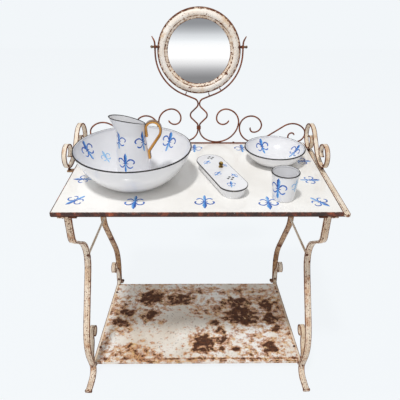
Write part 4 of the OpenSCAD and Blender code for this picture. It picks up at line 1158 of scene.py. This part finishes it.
# ---- light, floor and camera
def lamp(name, at, aim, size, power, mirrored):
    light = bpy.data.lights.new(name, "AREA")
    light.shape = "DISK"
    light.size = size
    light.energy = power
    obj = bpy.data.objects.new(name, light)
    scene.collection.objects.link(obj)
    obj.visible_glossy = mirrored
    obj.location = at
    obj.rotation_euler = (Vector(aim) - Vector(at)).to_track_quat("-Z", "Y").to_euler()


lamp("key", (-1.2, -2.5, 7.5), (0, 0, 0.7), 0.8, 305, mirrored=True)
lamp("fill", (-1.1, -2.5, 0.95), (0, 0, 0.45), 1.8, 9, mirrored=False)

BACKGROUND, WORLD_LEVEL = rgb(242, 246, 249), 0.43
FLOOR_SEEN, FLOOR_MIRRORED, FLOOR_MATT = rgb(245, 249, 252), (1.04, 1.04, 1.04, 1), rgb(236, 238, 240)
FLOOR_GLOW = 0.93  # the rest is matt and takes the shadow
FLOOR_HALF = 6


def empty_tree(owner):
    owner.use_nodes = True
    owner.node_tree.nodes.clear()
    return owner.node_tree


def either(tree, a, b):
    return add(tree, "Math", {0: a, 1: b}, operation="MAXIMUM").outputs[0]


# World: white light, with the pale background for the camera and for mirrors
scene.world = bpy.data.worlds.new("studio")
tree = empty_tree(scene.world)
rays = add(tree, "LightPath", {}).outputs
through = either(tree, rays["Is Glossy Ray"], rays["Is Transmission Ray"])
seen = either(tree, rays["Is Camera Ray"], through)
plain = add(tree, "Background", {"Color": (1, 1, 1, 1), "Strength": WORLD_LEVEL})
shown = add(tree, "Background", {"Color": BACKGROUND, "Strength": 1.0})
blend = add(tree, "MixShader", {0: seen, 1: plain.outputs[0], 2: shown.outputs[0]})
add(tree, "OutputWorld", {0: blend.outputs[0]})

floor_mesh = bpy.data.meshes.new("floor")
corners = [(x * FLOOR_HALF, y * FLOOR_HALF, 0) for x, y in ((-1, -1), (1, -1), (1, 1), (-1, 1))]
floor_mesh.from_pydata(corners, [], [(0, 1, 2, 3)])
floor = bpy.data.objects.new("floor", floor_mesh)
scene.collection.objects.link(floor)
floor_paint = bpy.data.materials.new("studio_floor")
tree = empty_tree(floor_paint)
rays = add(tree, "LightPath", {}).outputs
colours = {"Factor": rays["Is Glossy Ray"], 6: FLOOR_SEEN, 7: FLOOR_MIRRORED}
tint = add(tree, "Mix", colours, data_type="RGBA")
glow = add(tree, "Emission", {"Color": tint.outputs[2]})
matt = add(tree, "BsdfDiffuse", {"Color": FLOOR_MATT})
seen = either(tree, rays["Is Camera Ray"], rays["Is Glossy Ray"])
share = add(tree, "Math", {0: seen, 1: FLOOR_GLOW}, operation="MULTIPLY")
blend = add(tree, "MixShader", {0: share.outputs[0], 1: matt.outputs[0], 2: glow.outputs[0]})
add(tree, "OutputMaterial", {0: blend.outputs[0]})
floor_mesh.materials.append(floor_paint)

# Camera at the photograph's viewing angle: angles in radians, place in metres
YAW, PITCH, ROLL = 0.01355877, 0.52745797, 0.0060477
CAMERA_AT = (-0.0041, -1.2250, 1.3232)
LENS, SENSOR = 37.8, 36.0
camera_data = bpy.data.cameras.new("camera")
camera_data.lens = LENS
camera_data.sensor_width = SENSOR
camera = bpy.data.objects.new("camera", camera_data)
scene.collection.objects.link(camera)
camera.matrix_world = Matrix.Translation(CAMERA_AT)
for angle, axis in ((-YAW, "Z"), (pi / 2 - PITCH, "X"), (ROLL, "Z")):
    camera.matrix_world @= Matrix.Rotation(angle, 4, axis)
scene.camera = camera
scene.view_settings.view_transform = "Standard"
